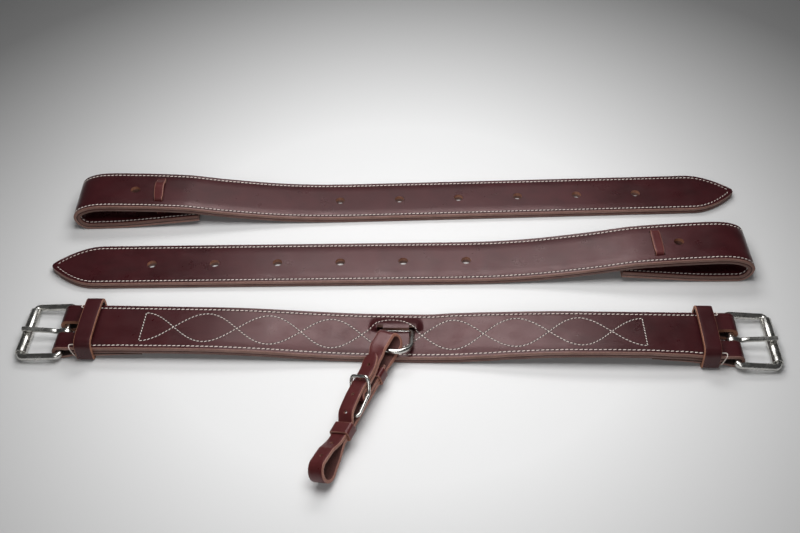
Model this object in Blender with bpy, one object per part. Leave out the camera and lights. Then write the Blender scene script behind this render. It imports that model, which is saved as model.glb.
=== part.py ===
"""Western back cinch laid out for a photograph: the cinch with its buckles, keepers, dee and connector
strap, and its two billets.

World frame in metres: X along the cinch, Y away from the camera, Z up, table at Z = 0. The cinch's
centre is the origin. Sizes are written in millimetres times MM.
"""

import math

import bmesh
import bpy
from mathutils import Matrix, Vector

MM = 0.001

# Clearances
GAP = 0.3 * MM
CUT_MARGIN = 2.0 * MM

# Cinch leather
STRAP_WIDTH = 44.5 * MM
CINCH_PLY = 2.9 * MM
EDGE_CHAMFER = 0.5 * MM
RETURN_PLY = 2.3 * MM
RETURN_SKIVE = 0.6 * MM
RETURN_LENGTH = 62.0 * MM
LINING_SETBACK = 9.5 * MM
BELLY_RISE = 5.3 * MM
FLAT_HALF_LENGTH = 12.0 * MM
RISE_LENGTH = 128.0 * MM

# Roller buckles
HEEL_BAR_X = 250.0 * MM
BUCKLE_WIRE = 5.3 * MM
BUCKLE_LENGTH = 30.0 * MM
BUCKLE_SIDE_PLAY = 0.5 * MM
BUCKLE_CORNER = 3.3 * MM
ROLLER_DIAMETER = 8.5 * MM
TONGUE_WIRE = 3.9 * MM
TONGUE_EYE_WIDTH = 5.0 * MM
TONGUE_EYE_PLY = 2.4 * MM
TONGUE_OVERHANG = 2.4 * MM
TONGUE_DIP = 3.65 * MM
TONGUE_OFFSET = -2.8 * MM
TONGUE_TIP_DROP = 1.2 * MM
TONGUE_EYE_START = 84
TONGUE_EYE_END = 325
TONGUE_SLOT_WIDTH = 11.5 * MM
TONGUE_SLOT_OFFSET = -0.8 * MM
TONGUE_SLOT_REACH = 12.5 * MM

# Cinch keepers
KEEPER_SETBACK = 19.5 * MM
KEEPER_LENGTH = 12.5 * MM
KEEPER_PLY = 2.8 * MM
KEEPER_CORNER = 4.0 * MM
KEEPER_TOP_CORNER = 7.0 * MM
KEEPER_ROOM = 5.2 * MM

# Centre dee
DEE_X = -0.1 * MM
DEE_BAR_Y = 5.8 * MM
DEE_WIRE = 3.8 * MM
DEE_WIDTH = 28.2 * MM
DEE_DEPTH = 30.0 * MM
DEE_CORNER = 3.0 * MM
DEE_TILT = math.radians(17.5)
DEE_RECESS = 0.9 * MM
SLIT_WIDTH = 1.2 * MM
HUMP_FADE = 7.0 * MM
HUMP_BACK_FADE = 11.2 * MM
DEE_NOTCH_MARGIN = 0.2 * MM
DEE_UPRIGHT_ROOM = 0.5 * DEE_DEPTH
DEE_NOTCH_REACH = 0.75 * DEE_DEPTH

# Connector strap
CONNECTOR_WIDTH = 11.5 * MM
CONNECTOR_PLY = 2.5 * MM
CONNECTOR_CHAMFER = 0.4 * MM
CONNECTOR_ORIGIN = Vector((-3.5, -20.3, 7.35)) * MM
CONNECTOR_HEADING = math.radians(21.0)
CONNECTOR_PITCH = math.radians(1.3)
CONNECTOR_ROLL = math.radians(20.0)
CONNECTOR_ROLL_AT_DEE = math.radians(3.0)
CONNECTOR_LEAN_AT_DEE = math.radians(35.0)
ROLL_START = 3.0 * MM
ROLL_RUN = 15.0 * MM
DEE_LOOP_S = -8.0 * MM
DEE_LOOP_RADIUS = 5.55 * MM
END_LOOP_S = 113.8 * MM
END_LOOP_N = 1.3 * MM
END_LOOP_RADIUS = 7.75 * MM
TAIL_END_S = 17.5 * MM
BILLET_TIP_S = 16.5 * MM
CONNECTOR_TIP_LENGTH = 9.0 * MM
CONNECTOR_TIP_HALF = 1.2 * MM
END_LOOP_START = -118
END_LOOP_END = 82
END_LOOP_FALL = 4.2 * MM
END_LOOP_CLIMB = 3.9 * MM
TAIL_TIP_LIFT = 1.6 * MM
TAIL_LIFT_AT_KEEPER = 0.2 * MM
FRONT_LIFT_NEAR = 1.3 * MM
FRONT_LIFT_FAR = 3.6 * MM
BILLET_STEP_UP = 0.3 * MM
CONNECTOR_HOLE = 2.6 * MM
CONNECTOR_HOLE_COUNT = 7
CONNECTOR_HOLE_FIRST = 10.5 * MM
CONNECTOR_HOLE_PITCH = 14.3 * MM

# Connector buckle and keepers
SMALL_WIRE = 2.4 * MM
SMALL_CENTRE_BAR_S = 50.0 * MM
SMALL_CENTRE_BAR_N = 6.9 * MM
SMALL_HEEL_DROP = 1.8 * MM
SMALL_HEEL_LENGTH = 18.0 * MM
SMALL_TOP_LENGTH = 8.7 * MM
SMALL_TOP_RISE = 10.3 * MM
SMALL_CORNER = 2.6 * MM
SMALL_SIDE_PLAY = 0.35 * MM
SMALL_TONGUE_OVERHANG = 1.0 * MM
SMALL_EYE_START = 80
SMALL_EYE_END = 320
SMALL_KEEPER_CORNER = 1.6 * MM
SMALL_TONGUE_WIRE = 1.3 * MM
SMALL_TONGUE_SLOT = 3.6 * MM
SMALL_KEEPER_PLY = 1.6 * MM
MAIN_KEEPER_S = 80.5 * MM
MAIN_KEEPER_LENGTH = 9.5 * MM
SMALL_KEEPER_S = 25.8 * MM
SMALL_KEEPER_LENGTH = 9.0 * MM

# Billets
BILLET_PLY = 2.65 * MM
BILLET_LENGTH = 560.5 * MM
BILLET_TIP_LENGTH = 38.0 * MM
BILLET_TIP_HALF_WIDTH = 1.5 * MM
BILLET_RETURN = 104.0 * MM
BILLET_LOOP_HEIGHT = 24.7 * MM
BILLET_SLOPE_LENGTH = 131.0 * MM
BILLET_RETURN_RISE = 6.0 * MM
BILLET_HOLE = 7.8 * MM
BILLET_HOLE_COUNT = 6
BILLET_HOLE_PITCH = 50.8 * MM
LACE_WIDTH = 7.5 * MM
LACE_PLY = 2.0 * MM
LACE_CHAMFER = 0.3 * MM
LACE_HALF_SPAN = 13.0 * MM
LACE_LIFT = 0.35 * MM
UPPER_LACE_SLACK = 3.5 * MM
MIDDLE_BILLET_Y = 81.6 * MM
MIDDLE_BILLET_LOOP_X = 279.8 * MM
MIDDLE_BILLET_YAW = math.radians(1.87)
MIDDLE_FIRST_HOLE = 80.5 * MM
MIDDLE_LOOP_HOLE = 57.5 * MM
MIDDLE_LACE_D = 74.7 * MM
UPPER_BILLET_Y = 159.2 * MM
UPPER_BILLET_LOOP_X = -275.5 * MM
UPPER_BILLET_YAW = math.radians(3.10)
UPPER_FIRST_HOLE = 83.7 * MM
UPPER_LOOP_HOLE = 50.5 * MM
UPPER_LACE_D = 71.3 * MM

# Mesh fineness
WIRE_SIDES = 10
ROLLER_SIDES = 24
HOLE_SIDES = 12

# Sizes that follow from those above
HALF_WIDTH = STRAP_WIDTH / 2
HEEL_MID_RADIUS = BUCKLE_WIRE / 2 + GAP + CINCH_PLY / 2
RISE_AT_KEEPER = KEEPER_PLY + GAP + RETURN_PLY + GAP
TOP_AT_KEEPER = RISE_AT_KEEPER + CINCH_PLY + GAP + CINCH_PLY
HEEL_BAR_Z = TOP_AT_KEEPER - CINCH_PLY / 2 - HEEL_MID_RADIUS
ROLLER_Z = ROLLER_DIAMETER / 2
KEEPER_X = HEEL_BAR_X - KEEPER_SETBACK
RETURN_TIP_X = HEEL_BAR_X - RETURN_LENGTH
LINING_END_X = HEEL_BAR_X - LINING_SETBACK
KEEPER_INNER_X = KEEPER_X - KEEPER_LENGTH / 2
KEEPER_OUTER_X = KEEPER_X + KEEPER_LENGTH / 2
RISE_END_X = FLAT_HALF_LENGTH + RISE_LENGTH
DEE_SIDE = (DEE_WIDTH - DEE_WIRE) / 2
DEE_Z = CINCH_PLY - DEE_RECESS + GAP + DEE_WIRE / 2
HUMP_HEIGHT = DEE_Z + DEE_WIRE / 2 - CINCH_PLY
DEE_CLEAR = DEE_WIRE / 2 + GAP
NOTCH_START = DEE_SIDE - DEE_WIRE / 2 - GAP - DEE_NOTCH_MARGIN
CONNECTOR_HALF = CONNECTOR_WIDTH / 2
LAYER_STEP = CONNECTOR_PLY + GAP
SMALL_FOLD_RADIUS = SMALL_WIRE / 2 + GAP + CONNECTOR_PLY / 2
BILLET_MID = BILLET_PLY + GAP / 2


def clear_scene():
    for obj in list(bpy.data.objects):
        bpy.data.objects.remove(obj, do_unlink=True)


def finish(name, colour, roughness, metallic=0.0):
    """A Principled BSDF material with the part's own colour."""
    material = bpy.data.materials.new(name)
    material.use_nodes = True
    shader = material.node_tree.nodes["Principled BSDF"]
    shader.inputs["Base Color"].default_value = (*colour, 1.0)
    shader.inputs["Roughness"].default_value = roughness
    shader.inputs["Metallic"].default_value = metallic
    material.diffuse_color = (*colour, 1.0)
    return material


def leather(name):
    return finish(name + "_leather", (0.060, 0.018, 0.016), 0.45)


def nickel(name):
    return finish(name + "_nickel", (0.72, 0.71, 0.68), 0.18, 1.0)


def smoothstep(t):
    t = min(max(t, 0.0), 1.0)
    return t * t * (3 - 2 * t)


def object_from(name, points, faces, material, origin=None):
    """One closed mesh object whose origin lies at the given world point."""
    origin = Vector((0, 0, 0)) if origin is None else origin
    mesh = bpy.data.meshes.new(name)
    mesh.from_pydata([point - origin for point in points], [], faces)
    shell = bmesh.new()
    shell.from_mesh(mesh)
    bmesh.ops.recalc_face_normals(shell, faces=shell.faces)
    shell.to_mesh(mesh)
    shell.free()
    mesh.shade_smooth()
    mesh.set_sharp_from_angle(angle=math.radians(35))
    mesh.materials.append(material)
    obj = bpy.data.objects.new(name, mesh)
    obj.location = origin
    bpy.context.scene.collection.objects.link(obj)
    return obj


def loft(name, sections, material, origin=None, closed=False):
    """Skins a row of equal sections, with flat end caps unless it closes on itself."""
    size = len(sections[0])
    points = [point for section in sections for point in section]
    faces = []
    last = len(sections) if closed else len(sections) - 1
    for row in range(last):
        start = row * size
        following = (row + 1) % len(sections) * size
        for k in range(size):
            after = (k + 1) % size
            faces.append((start + k, start + after, following + after, following + k))
    if not closed:
        faces.append(tuple(range(size)))
        faces.append(tuple(range(len(points) - size, len(points))))
    return object_from(name, points, faces, material, origin)


def hide_helper(obj):
    obj.hide_render = True
    obj.display_type = "WIRE"


def helper(name, solids):
    """One hidden mesh made of several closed solids, each a pair of points and faces."""
    points = []
    faces = []
    for solid_points, solid_faces in solids:
        first = len(points)
        points.extend(solid_points)
        faces.extend(tuple(first + k for k in face) for face in solid_faces)
    obj = object_from(name, points, faces, finish(name + "_guide", (0.5, 0.5, 0.5), 0.5))
    hide_helper(obj)
    return obj


def boolean(target, tool, operation, own_overlap=False):
    """own_overlap is for a tool whose own solids run into each other."""
    modifier = target.modifiers.new(operation.capitalize(), "BOOLEAN")
    modifier.operation = operation
    modifier.solver = "EXACT"
    modifier.use_self = own_overlap
    modifier.object = tool


def prism(outline, direction):
    """A closed prism from a ring of points, pushed along a vector."""
    count = len(outline)
    points = list(outline) + [point + direction for point in outline]
    faces = [tuple(range(count)), tuple(range(count, 2 * count))]
    for k in range(count):
        after = (k + 1) % count
        faces.append((k, after, count + after, count + k))
    return points, faces


def circle_outline(centre, radius, first, second, sides=HOLE_SIDES):
    """A ring of points round a centre, in the plane of two unit vectors."""
    ring = []
    for k in range(sides):
        angle = 2 * math.pi * k / sides
        ring.append(centre + (first * math.cos(angle) + second * math.sin(angle)) * radius)
    return ring


def arc(centre, radius, start, end, count):
    """Points (a, b) on an arc, angles in degrees from the +a axis towards +b."""
    result = []
    for k in range(count + 1):
        angle = math.radians(start + (end - start) * k / count)
        result.append((centre[0] + radius * math.cos(angle), centre[1] + radius * math.sin(angle)))
    return result


def spline(points, steps):
    """A smooth curve through the points, steps pieces between neighbours."""
    ends = [points[0]] + list(points) + [points[-1]]
    result = []
    for k in range(1, len(ends) - 2):
        for step in range(steps):
            t = step / steps
            point = []
            for a, b, c, d in zip(ends[k - 1], ends[k], ends[k + 1], ends[k + 2]):
                bend = (2 * a - 5 * b + 4 * c - d) * t * t + (3 * b - a - 3 * c + d) * t**3
                point.append(0.5 * (2 * b + (c - a) * t + bend))
            result.append(tuple(point))
    result.append(tuple(points[-1]))
    return result


def normals_of(path, closed=False):
    """Normals (a, b) of a flat path, a quarter turn left of its direction, mitred at bends."""
    result = []
    count = len(path)
    for k in range(count):
        before = path[(k - 1) % count] if closed or k > 0 else path[0]
        after = path[(k + 1) % count] if closed or k < count - 1 else path[-1]
        here = path[k]
        sides = []
        for start, end in ((before, here), (here, after)):
            run = math.hypot(end[0] - start[0], end[1] - start[1])
            if run > 0:
                sides.append((-(end[1] - start[1]) / run, (end[0] - start[0]) / run))
        total = (sum(side[0] for side in sides), sum(side[1] for side in sides))
        size = math.hypot(*total)
        unit = (total[0] / size, total[1] / size)
        cosine = max(unit[0] * sides[0][0] + unit[1] * sides[0][1], 0.5)
        result.append((unit[0] / cosine, unit[1] / cosine))
    return result


def strap_sections(path, plies, half_widths, chamfer, place, offset=0.0, closed=False):
    """Sections of a strap along a flat path: chamfered rectangles, put in the world by place."""
    sections = []
    for k, normal in enumerate(normals_of(path, closed)):
        half_ply = plies[k] / 2
        half = half_widths[k]
        cut = min(chamfer, half_ply * 0.6)
        ring = (
            (-half + cut, half_ply),
            (half - cut, half_ply),
            (half, half_ply - cut),
            (half, -half_ply + cut),
            (half - cut, -half_ply),
            (-half + cut, -half_ply),
            (-half, -half_ply + cut),
            (-half, half_ply - cut),
        )
        section = []
        for w, up in ring:
            level = offset + up
            section.append(place(path[k][0] + normal[0] * level, w, path[k][1] + normal[1] * level))
        sections.append(section)
    return sections


def tube_sections(path, radius, place, closed=False, sides=WIRE_SIDES, flatten=None):
    """Round wire sections along a flat path; flatten gives each its own (half width, half ply)."""
    sections = []
    for k, normal in enumerate(normals_of(path, closed)):
        half, ply = flatten[k] if flatten else (radius, radius)
        here = path[k]
        ring = []
        for side in range(sides):
            angle = 2 * math.pi * (side + 0.5) / sides
            up = ply * math.sin(angle)
            ring.append(place(here[0] + normal[0] * up, half * math.cos(angle), here[1] + normal[1] * up))
        sections.append(ring)
    return sections


def rounded_box_path(half, low, high, radius, count=4, top_radius=None):
    """A closed path of points (a, b) round a rectangle with rounded corners."""
    top = top_radius or radius
    path = arc((half - top, high - top), top, 90, 0, count)
    path += arc((half - radius, low + radius), radius, 0, -90, count)
    path += arc((-half + radius, low + radius), radius, -90, -180, count)
    path += arc((-half + top, high - top), top, 180, 90, count)
    return path


def rise(x):
    """Height of the lining's underside: flat at the centre, over the return and keeper at the ends."""
    x = abs(x)
    belly = BELLY_RISE * smoothstep((x - FLAT_HALF_LENGTH) / RISE_LENGTH)
    end = (RISE_AT_KEEPER - BELLY_RISE) * smoothstep((x - RISE_END_X) / (KEEPER_INNER_X - RISE_END_X))
    return belly + end


def return_ply(x):
    """The return is skived from the keeper down to its tip."""
    share = smoothstep((x - RETURN_TIP_X) / (KEEPER_INNER_X - RETURN_TIP_X))
    return RETURN_SKIVE + (RETURN_PLY - RETURN_SKIVE) * share


def hump(x, y):
    """How far the face ply lifts over the dee's bar, behind its slit."""
    front = DEE_BAR_Y - DEE_CLEAR
    back = DEE_BAR_Y + DEE_CLEAR
    along = 1 - smoothstep((abs(x - DEE_X) - DEE_SIDE - DEE_CLEAR) / HUMP_FADE)
    if y < front + SLIT_WIDTH:
        return HUMP_HEIGHT * along * smoothstep((y - front) / SLIT_WIDTH)
    if y <= back:
        return HUMP_HEIGHT * along
    return HUMP_HEIGHT * along * (1 - smoothstep((y - back) / HUMP_BACK_FADE))


def cinch_half_path():
    """Mid-line (x, z) of the face ply from the centre to the right return's tip, and its ply."""
    mid_top = CINCH_PLY + GAP + CINCH_PLY / 2
    xs = [0.0]
    while xs[-1] < DEE_SIDE + DEE_CLEAR + HUMP_FADE:
        xs.append(xs[-1] + DEE_SIDE / 5)
    spread = KEEPER_OUTER_X - xs[-1]
    first = xs[-1]
    xs += [first + spread * k / 13 for k in range(1, 14)]
    points = [(x, rise(x) + mid_top) for x in xs]
    points += arc((HEEL_BAR_X, HEEL_BAR_Z), HEEL_MID_RADIUS, 90, -90, 12)
    plies = [CINCH_PLY] * len(points)
    s_start = (HEEL_BAR_X, HEEL_BAR_Z - HEEL_MID_RADIUS)
    s_end = (KEEPER_OUTER_X + GAP, RISE_AT_KEEPER - GAP - RETURN_PLY / 2)
    for k in range(1, 7):
        t = k / 6
        x = s_start[0] + (s_end[0] - s_start[0]) * t
        points.append((x, s_start[1] + (s_end[1] - s_start[1]) * smoothstep(t)))
        plies.append(CINCH_PLY + (RETURN_PLY - CINCH_PLY) * t)
    for k in range(7):
        x = KEEPER_INNER_X + (RETURN_TIP_X - KEEPER_INNER_X) * k / 6
        ply = return_ply(x)
        points.append((x, rise(x) - GAP - ply / 2))
        plies.append(ply)
    return points, plies


def dee_cutters():
    """Room for the dee's bar and its sides, from the resting pose up to upright."""
    low = DEE_Z - DEE_CLEAR
    front = DEE_BAR_Y - DEE_CLEAR
    back = DEE_BAR_Y + DEE_CLEAR
    high = DEE_Z + DEE_UPRIGHT_ROOM
    down = Vector((0, -math.sin(DEE_TILT), -math.cos(DEE_TILT))) * DEE_CLEAR
    along = Vector((0, -math.cos(DEE_TILT), math.sin(DEE_TILT))) * DEE_NOTCH_REACH
    bar = Vector((0, DEE_BAR_Y, DEE_Z))
    heel = bar + down
    toe = heel + along
    solids = []
    for side in (-1, 1):
        inner = DEE_X + side * NOTCH_START
        outline = [
            heel,
            toe,
            Vector((0, toe.y, high)),
            Vector((0, back, high)),
            Vector((0, back, DEE_Z)),
            Vector((0, DEE_BAR_Y + 0.7 * DEE_CLEAR, low + 0.3 * DEE_CLEAR)),
        ]
        outline = [point + Vector((inner, 0, 0)) for point in outline]
        solids.append(prism(outline, Vector((side * (DEE_WIRE + 2 * GAP + DEE_NOTCH_MARGIN), 0, 0))))
    reach = NOTCH_START + CUT_MARGIN * 0.5
    trough_top = CINCH_PLY + GAP / 2
    trough = [
        Vector((DEE_X - reach, front, low)),
        Vector((DEE_X - reach, back, low)),
        Vector((DEE_X - reach, back, trough_top)),
        Vector((DEE_X - reach, front, trough_top)),
    ]
    solids.append(prism(trough, Vector((2 * reach, 0, 0))))
    slit_low = CINCH_PLY + GAP / 2
    slit = [
        Vector((DEE_X - reach, front, slit_low)),
        Vector((DEE_X - reach, front + SLIT_WIDTH, slit_low)),
        Vector((DEE_X - reach, front + SLIT_WIDTH, high)),
        Vector((DEE_X - reach, front, high)),
    ]
    solids.append(prism(slit, Vector((2 * reach, 0, 0))))
    return solids


def tongue_slot(side):
    """The round-ended slot through top ply, fold and return at one buckle."""
    half = TONGUE_SLOT_WIDTH / 2
    start = HEEL_BAR_X - TONGUE_SLOT_REACH + half
    outline = [(start + a, TONGUE_SLOT_OFFSET + b) for a, b in arc((0, 0), half, 90, 270, 8)]
    end = HEEL_BAR_X + HEEL_MID_RADIUS + CINCH_PLY
    outline += [(end, TONGUE_SLOT_OFFSET - half), (end, TONGUE_SLOT_OFFSET + half)]
    ring = [Vector((side * x, y, -CUT_MARGIN)) for x, y in outline]
    return prism(ring, Vector((0, 0, TOP_AT_KEEPER + 2 * CUT_MARGIN)))


def make_cinch():
    material = leather("cinch_top_ply")
    half_points, half_plies = cinch_half_path()
    left = [(-x, z) for x, z in reversed(half_points)][:-1]
    path = left + half_points
    plies = list(reversed(half_plies))[:-1] + half_plies
    front = DEE_BAR_Y - DEE_CLEAR
    back = DEE_BAR_Y + DEE_CLEAR
    lines = [-HALF_WIDTH + EDGE_CHAMFER, front, front + SLIT_WIDTH, back]
    lines += [back + HUMP_BACK_FADE / 2, back + HUMP_BACK_FADE - 1.0 * MM, HALF_WIDTH - EDGE_CHAMFER]
    sections = []
    for (x, z), ply, normal in zip(path, plies, normals_of(path)):
        cut = min(EDGE_CHAMFER, ply * 0.3)
        ring = [(y, ply / 2) for y in lines]
        ring += [(HALF_WIDTH, ply / 2 - cut), (HALF_WIDTH, -ply / 2 + cut)]
        ring += [(y, -ply / 2) for y in reversed(lines)]
        ring += [(-HALF_WIDTH, -ply / 2 + cut), (-HALF_WIDTH, ply / 2 - cut)]
        section = []
        for y, up in ring:
            lift = hump(x, y) if normal[1] > 0 else 0.0
            section.append(Vector((x + normal[0] * up, y, z + normal[1] * up + lift)))
        sections.append(section)
    top = loft("cinch_top_ply", sections, material)
    cutter = helper("cutter_cinch_top_ply", dee_cutters() + [tongue_slot(-1), tongue_slot(1)])
    boolean(top, cutter, "DIFFERENCE", True)

    stations = [-LINING_END_X + 2 * LINING_END_X * k / 40 for k in range(41)]
    stations += [-FLAT_HALF_LENGTH, FLAT_HALF_LENGTH]
    stations = sorted(x for x in stations if abs(x) >= FLAT_HALF_LENGTH)
    lining_path = [(x, rise(x) + CINCH_PLY / 2) for x in stations]
    count = len(lining_path)
    lining_sections = strap_sections(
        lining_path,
        [CINCH_PLY] * count,
        [HALF_WIDTH] * count,
        EDGE_CHAMFER,
        lambda a, w, b: Vector((a, w, b)),
    )
    lining = loft("cinch_lining", lining_sections, leather("cinch_lining"))
    boolean(lining, helper("cutter_cinch_lining", dee_cutters()), "DIFFERENCE", True)


def make_buckle(side, word):
    """Frame, roller and tongue of one roller buckle, each with its origin on its own axis."""
    half = HALF_WIDTH + BUCKLE_SIDE_PLAY + BUCKLE_WIRE / 2
    drop = HEEL_BAR_Z - ROLLER_Z
    tilt = math.asin(drop / BUCKLE_LENGTH)
    heel = Vector((side * HEEL_BAR_X, 0, HEEL_BAR_Z))

    def on_frame(u, w, up):
        out = u * math.cos(tilt) + up * math.sin(tilt)
        return Vector((side * (HEEL_BAR_X + out), w, HEEL_BAR_Z - u * math.sin(tilt) + up * math.cos(tilt)))

    outline = rounded_box_path(half, 0.0, BUCKLE_LENGTH, BUCKLE_CORNER)
    sections = tube_sections(outline, BUCKLE_WIRE / 2, lambda a, w, b: on_frame(b, a, w), closed=True)
    loft(word + "_buckle_frame", sections, nickel(word + "_buckle_frame"), heel, closed=True)

    bar = on_frame(BUCKLE_LENGTH, 0, 0)
    roller_half = half - BUCKLE_CORNER - GAP
    bore = BUCKLE_WIRE / 2 + GAP
    outer = ROLLER_DIAMETER / 2
    rim = 0.4 * MM
    profile = [
        (bore, -roller_half),
        (outer - rim, -roller_half),
        (outer, -roller_half + rim),
        (outer, roller_half - rim),
        (outer - rim, roller_half),
        (bore, roller_half),
    ]
    rings = []
    for k in range(ROLLER_SIDES):
        angle = 2 * math.pi * k / ROLLER_SIDES
        rings.append([bar + Vector((r * math.cos(angle), y, r * math.sin(angle))) for r, y in profile])
    loft(word + "_buckle_roller", rings, nickel(word + "_buckle_roller"), bar, closed=True)

    eye = BUCKLE_WIRE / 2 + GAP + TONGUE_EYE_PLY / 2
    over_roller = (bar.z + outer + GAP + TONGUE_WIRE / 2) - HEEL_BAR_Z
    reach = BUCKLE_LENGTH * math.cos(tilt)
    slope = (over_roller - TONGUE_DIP + TONGUE_TIP_DROP) / reach
    shank = [
        (reach + TONGUE_OVERHANG, over_roller + slope * TONGUE_OVERHANG * 0.6),
        (reach, over_roller),
        (reach * 0.62, over_roller - slope * reach * 0.38),
        (reach * 0.36, over_roller - slope * reach * 0.62),
        (reach * 0.2, eye - TONGUE_DIP * 0.45),
        (reach * 0.09, eye - TONGUE_DIP * 0.12),
    ]
    path = spline(shank, 3)[:-1] + arc((0, 0), eye, TONGUE_EYE_START, TONGUE_EYE_END, 14)
    widths = []
    for k, (u, _) in enumerate(path):
        share = smoothstep((u - reach * 0.1) / (reach * 0.25)) if k < len(path) - 15 else 0.0
        half_width = TONGUE_EYE_WIDTH / 2 + (TONGUE_WIRE - TONGUE_EYE_WIDTH) / 2 * share
        half_ply = TONGUE_EYE_PLY / 2 + (TONGUE_WIRE - TONGUE_EYE_PLY) / 2 * share
        widths.append((half_width, half_ply))
    widths[0] = (TONGUE_WIRE * 0.3, TONGUE_WIRE * 0.3)
    path = [(heel.x * side + u, HEEL_BAR_Z + v) for u, v in path]
    rings = tube_sections(
        path, 0, lambda a, w, b: Vector((side * a, TONGUE_OFFSET + w, b)), flatten=widths, sides=8
    )
    loft(word + "_buckle_tongue", rings, nickel(word + "_buckle_tongue"), heel)


def make_keeper(side, word):
    """The closed leather loop round the cinch's layers next to a buckle."""
    inner_half = HALF_WIDTH + GAP
    inner_high = TOP_AT_KEEPER + KEEPER_ROOM
    mid = KEEPER_PLY / 2
    corner = KEEPER_CORNER - mid
    top_corner = KEEPER_TOP_CORNER - mid
    path = rounded_box_path(inner_half + mid, mid, inner_high + mid, corner, 4, top_corner)
    centre = Vector((side * KEEPER_X, 0, 0))
    sections = strap_sections(
        path,
        [KEEPER_PLY] * len(path),
        [KEEPER_LENGTH / 2] * len(path),
        EDGE_CHAMFER,
        lambda a, w, b: centre + Vector((w, a, b)),
        closed=True,
    )
    loft(word + "_keeper", sections, leather(word + "_keeper"), centre, closed=True)


def make_dee():
    """The dee hinges on the bar under the face ply and lies back over the near half of the cinch."""
    bar = Vector((DEE_X, DEE_BAR_Y, DEE_Z))

    def on_dee(a, w, b):
        y = -b * math.cos(DEE_TILT) - w * math.sin(DEE_TILT)
        return bar + Vector((a, y, b * math.sin(DEE_TILT) - w * math.cos(DEE_TILT)))

    centre = DEE_DEPTH - DEE_SIDE
    path = arc((0, centre), DEE_SIDE, 0, 180, 14)
    path += arc((-DEE_SIDE + DEE_CORNER, DEE_CORNER), DEE_CORNER, 180, 270, 3)
    path += arc((DEE_SIDE - DEE_CORNER, DEE_CORNER), DEE_CORNER, 270, 360, 3)
    sections = tube_sections(path, DEE_WIRE / 2, on_dee, closed=True)
    loft("centre_dee", sections, nickel("centre_dee"), bar, closed=True)


def connector_point(s, w, n):
    """World point in the connector's frame: s from the dee, w across, n up from its underside."""
    share = smoothstep((s - ROLL_START) / ROLL_RUN)
    roll = CONNECTOR_ROLL_AT_DEE + (CONNECTOR_ROLL - CONNECTOR_ROLL_AT_DEE) * share
    level = Vector((-math.sin(CONNECTOR_HEADING), -math.cos(CONNECTOR_HEADING), 0))
    across = Vector((math.cos(CONNECTOR_HEADING), -math.sin(CONNECTOR_HEADING), 0))
    along = level * math.cos(CONNECTOR_PITCH) + Vector((0, 0, math.sin(CONNECTOR_PITCH)))
    upright = Vector((0, 0, math.cos(CONNECTOR_PITCH))) - level * math.sin(CONNECTOR_PITCH)
    lean = CONNECTOR_LEAN_AT_DEE + (CONNECTOR_ROLL - CONNECTOR_LEAN_AT_DEE) * share
    side = across * math.cos(roll) + upright * math.sin(roll)
    up = upright * math.cos(lean) - across * math.sin(lean)
    return CONNECTOR_ORIGIN + along * s + side * w + up * n


def connector_path():
    """Mid-line (s, n) of the one strip: tail, bar fold, front, dee loop, back, end loop, billet."""
    mid = CONNECTOR_PLY / 2
    bar = (SMALL_CENTRE_BAR_S, SMALL_CENTRE_BAR_N)
    fold = SMALL_FOLD_RADIUS
    tail_n = bar[1] - fold
    over_keeper = tail_n + mid + 2 * GAP + SMALL_KEEPER_PLY + mid
    keeper_near = SMALL_KEEPER_S + SMALL_KEEPER_LENGTH / 2
    keeper_far = SMALL_KEEPER_S - SMALL_KEEPER_LENGTH / 2
    top_n = 2 * DEE_LOOP_RADIUS + mid
    tail = [
        (TAIL_END_S, tail_n + TAIL_TIP_LIFT),
        (keeper_far, tail_n + TAIL_LIFT_AT_KEEPER),
        (keeper_near, tail_n),
        (bar[0] - 4 * MM, tail_n),
    ]
    front = [
        (bar[0] - 4 * MM, bar[1] + fold),
        (bar[0] - 11 * MM, bar[1] + fold),
        (keeper_near, over_keeper + FRONT_LIFT_NEAR),
        (keeper_far, over_keeper + FRONT_LIFT_FAR),
        (keeper_far - 9 * MM, top_n + 0.3 * MM),
        (0.0, top_n),
        (DEE_LOOP_S + 4 * MM, top_n),
    ]
    end_top = MAIN_KEEPER_S + MAIN_KEEPER_LENGTH / 2
    back = [
        (DEE_LOOP_S + 3 * MM, mid),
        (end_top * 0.5, mid),
        (end_top, mid),
        (end_top + 6 * MM, mid - 0.5 * MM),
        (end_top + 15 * MM, mid - END_LOOP_FALL),
    ]
    heel_bar = (bar[0] + SMALL_HEEL_LENGTH, bar[1] - SMALL_HEEL_DROP)
    over_heel = heel_bar[1] + SMALL_WIRE / 2 + SMALL_TONGUE_WIRE + 3 * GAP + mid
    over_bar = bar[1] + fold + LAYER_STEP
    billet = [
        (end_top + 17 * MM, mid + LAYER_STEP + END_LOOP_CLIMB),
        (end_top + 8 * MM, mid + LAYER_STEP + 0.8 * MM),
        (end_top + 1 * MM, mid + LAYER_STEP),
        (MAIN_KEEPER_S - MAIN_KEEPER_LENGTH / 2 - 0.5 * MM, mid + LAYER_STEP),
        (heel_bar[0] + 1 * MM, over_heel),
        (bar[0] + 9 * MM, over_bar - 0.6 * MM),
        (bar[0], over_bar + BILLET_STEP_UP),
        (bar[0] - 11 * MM, over_bar + 0.4 * MM),
        (keeper_near, front[2][1] + LAYER_STEP + BILLET_STEP_UP),
        (keeper_far, front[3][1] + LAYER_STEP + BILLET_STEP_UP),
        (BILLET_TIP_S, front[4][1] + LAYER_STEP + 0.5 * MM),
    ]
    path = spline(tail, 2)
    path += arc(bar, fold, -90, 90, 8)
    path += spline(front, 2)
    path += arc((DEE_LOOP_S, DEE_LOOP_RADIUS + mid), DEE_LOOP_RADIUS, 90, 270, 10)
    path += spline(back, 2)
    path += arc((END_LOOP_S, END_LOOP_N), END_LOOP_RADIUS, END_LOOP_START, END_LOOP_END, 12)
    path += spline(billet, 3)
    return path


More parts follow.
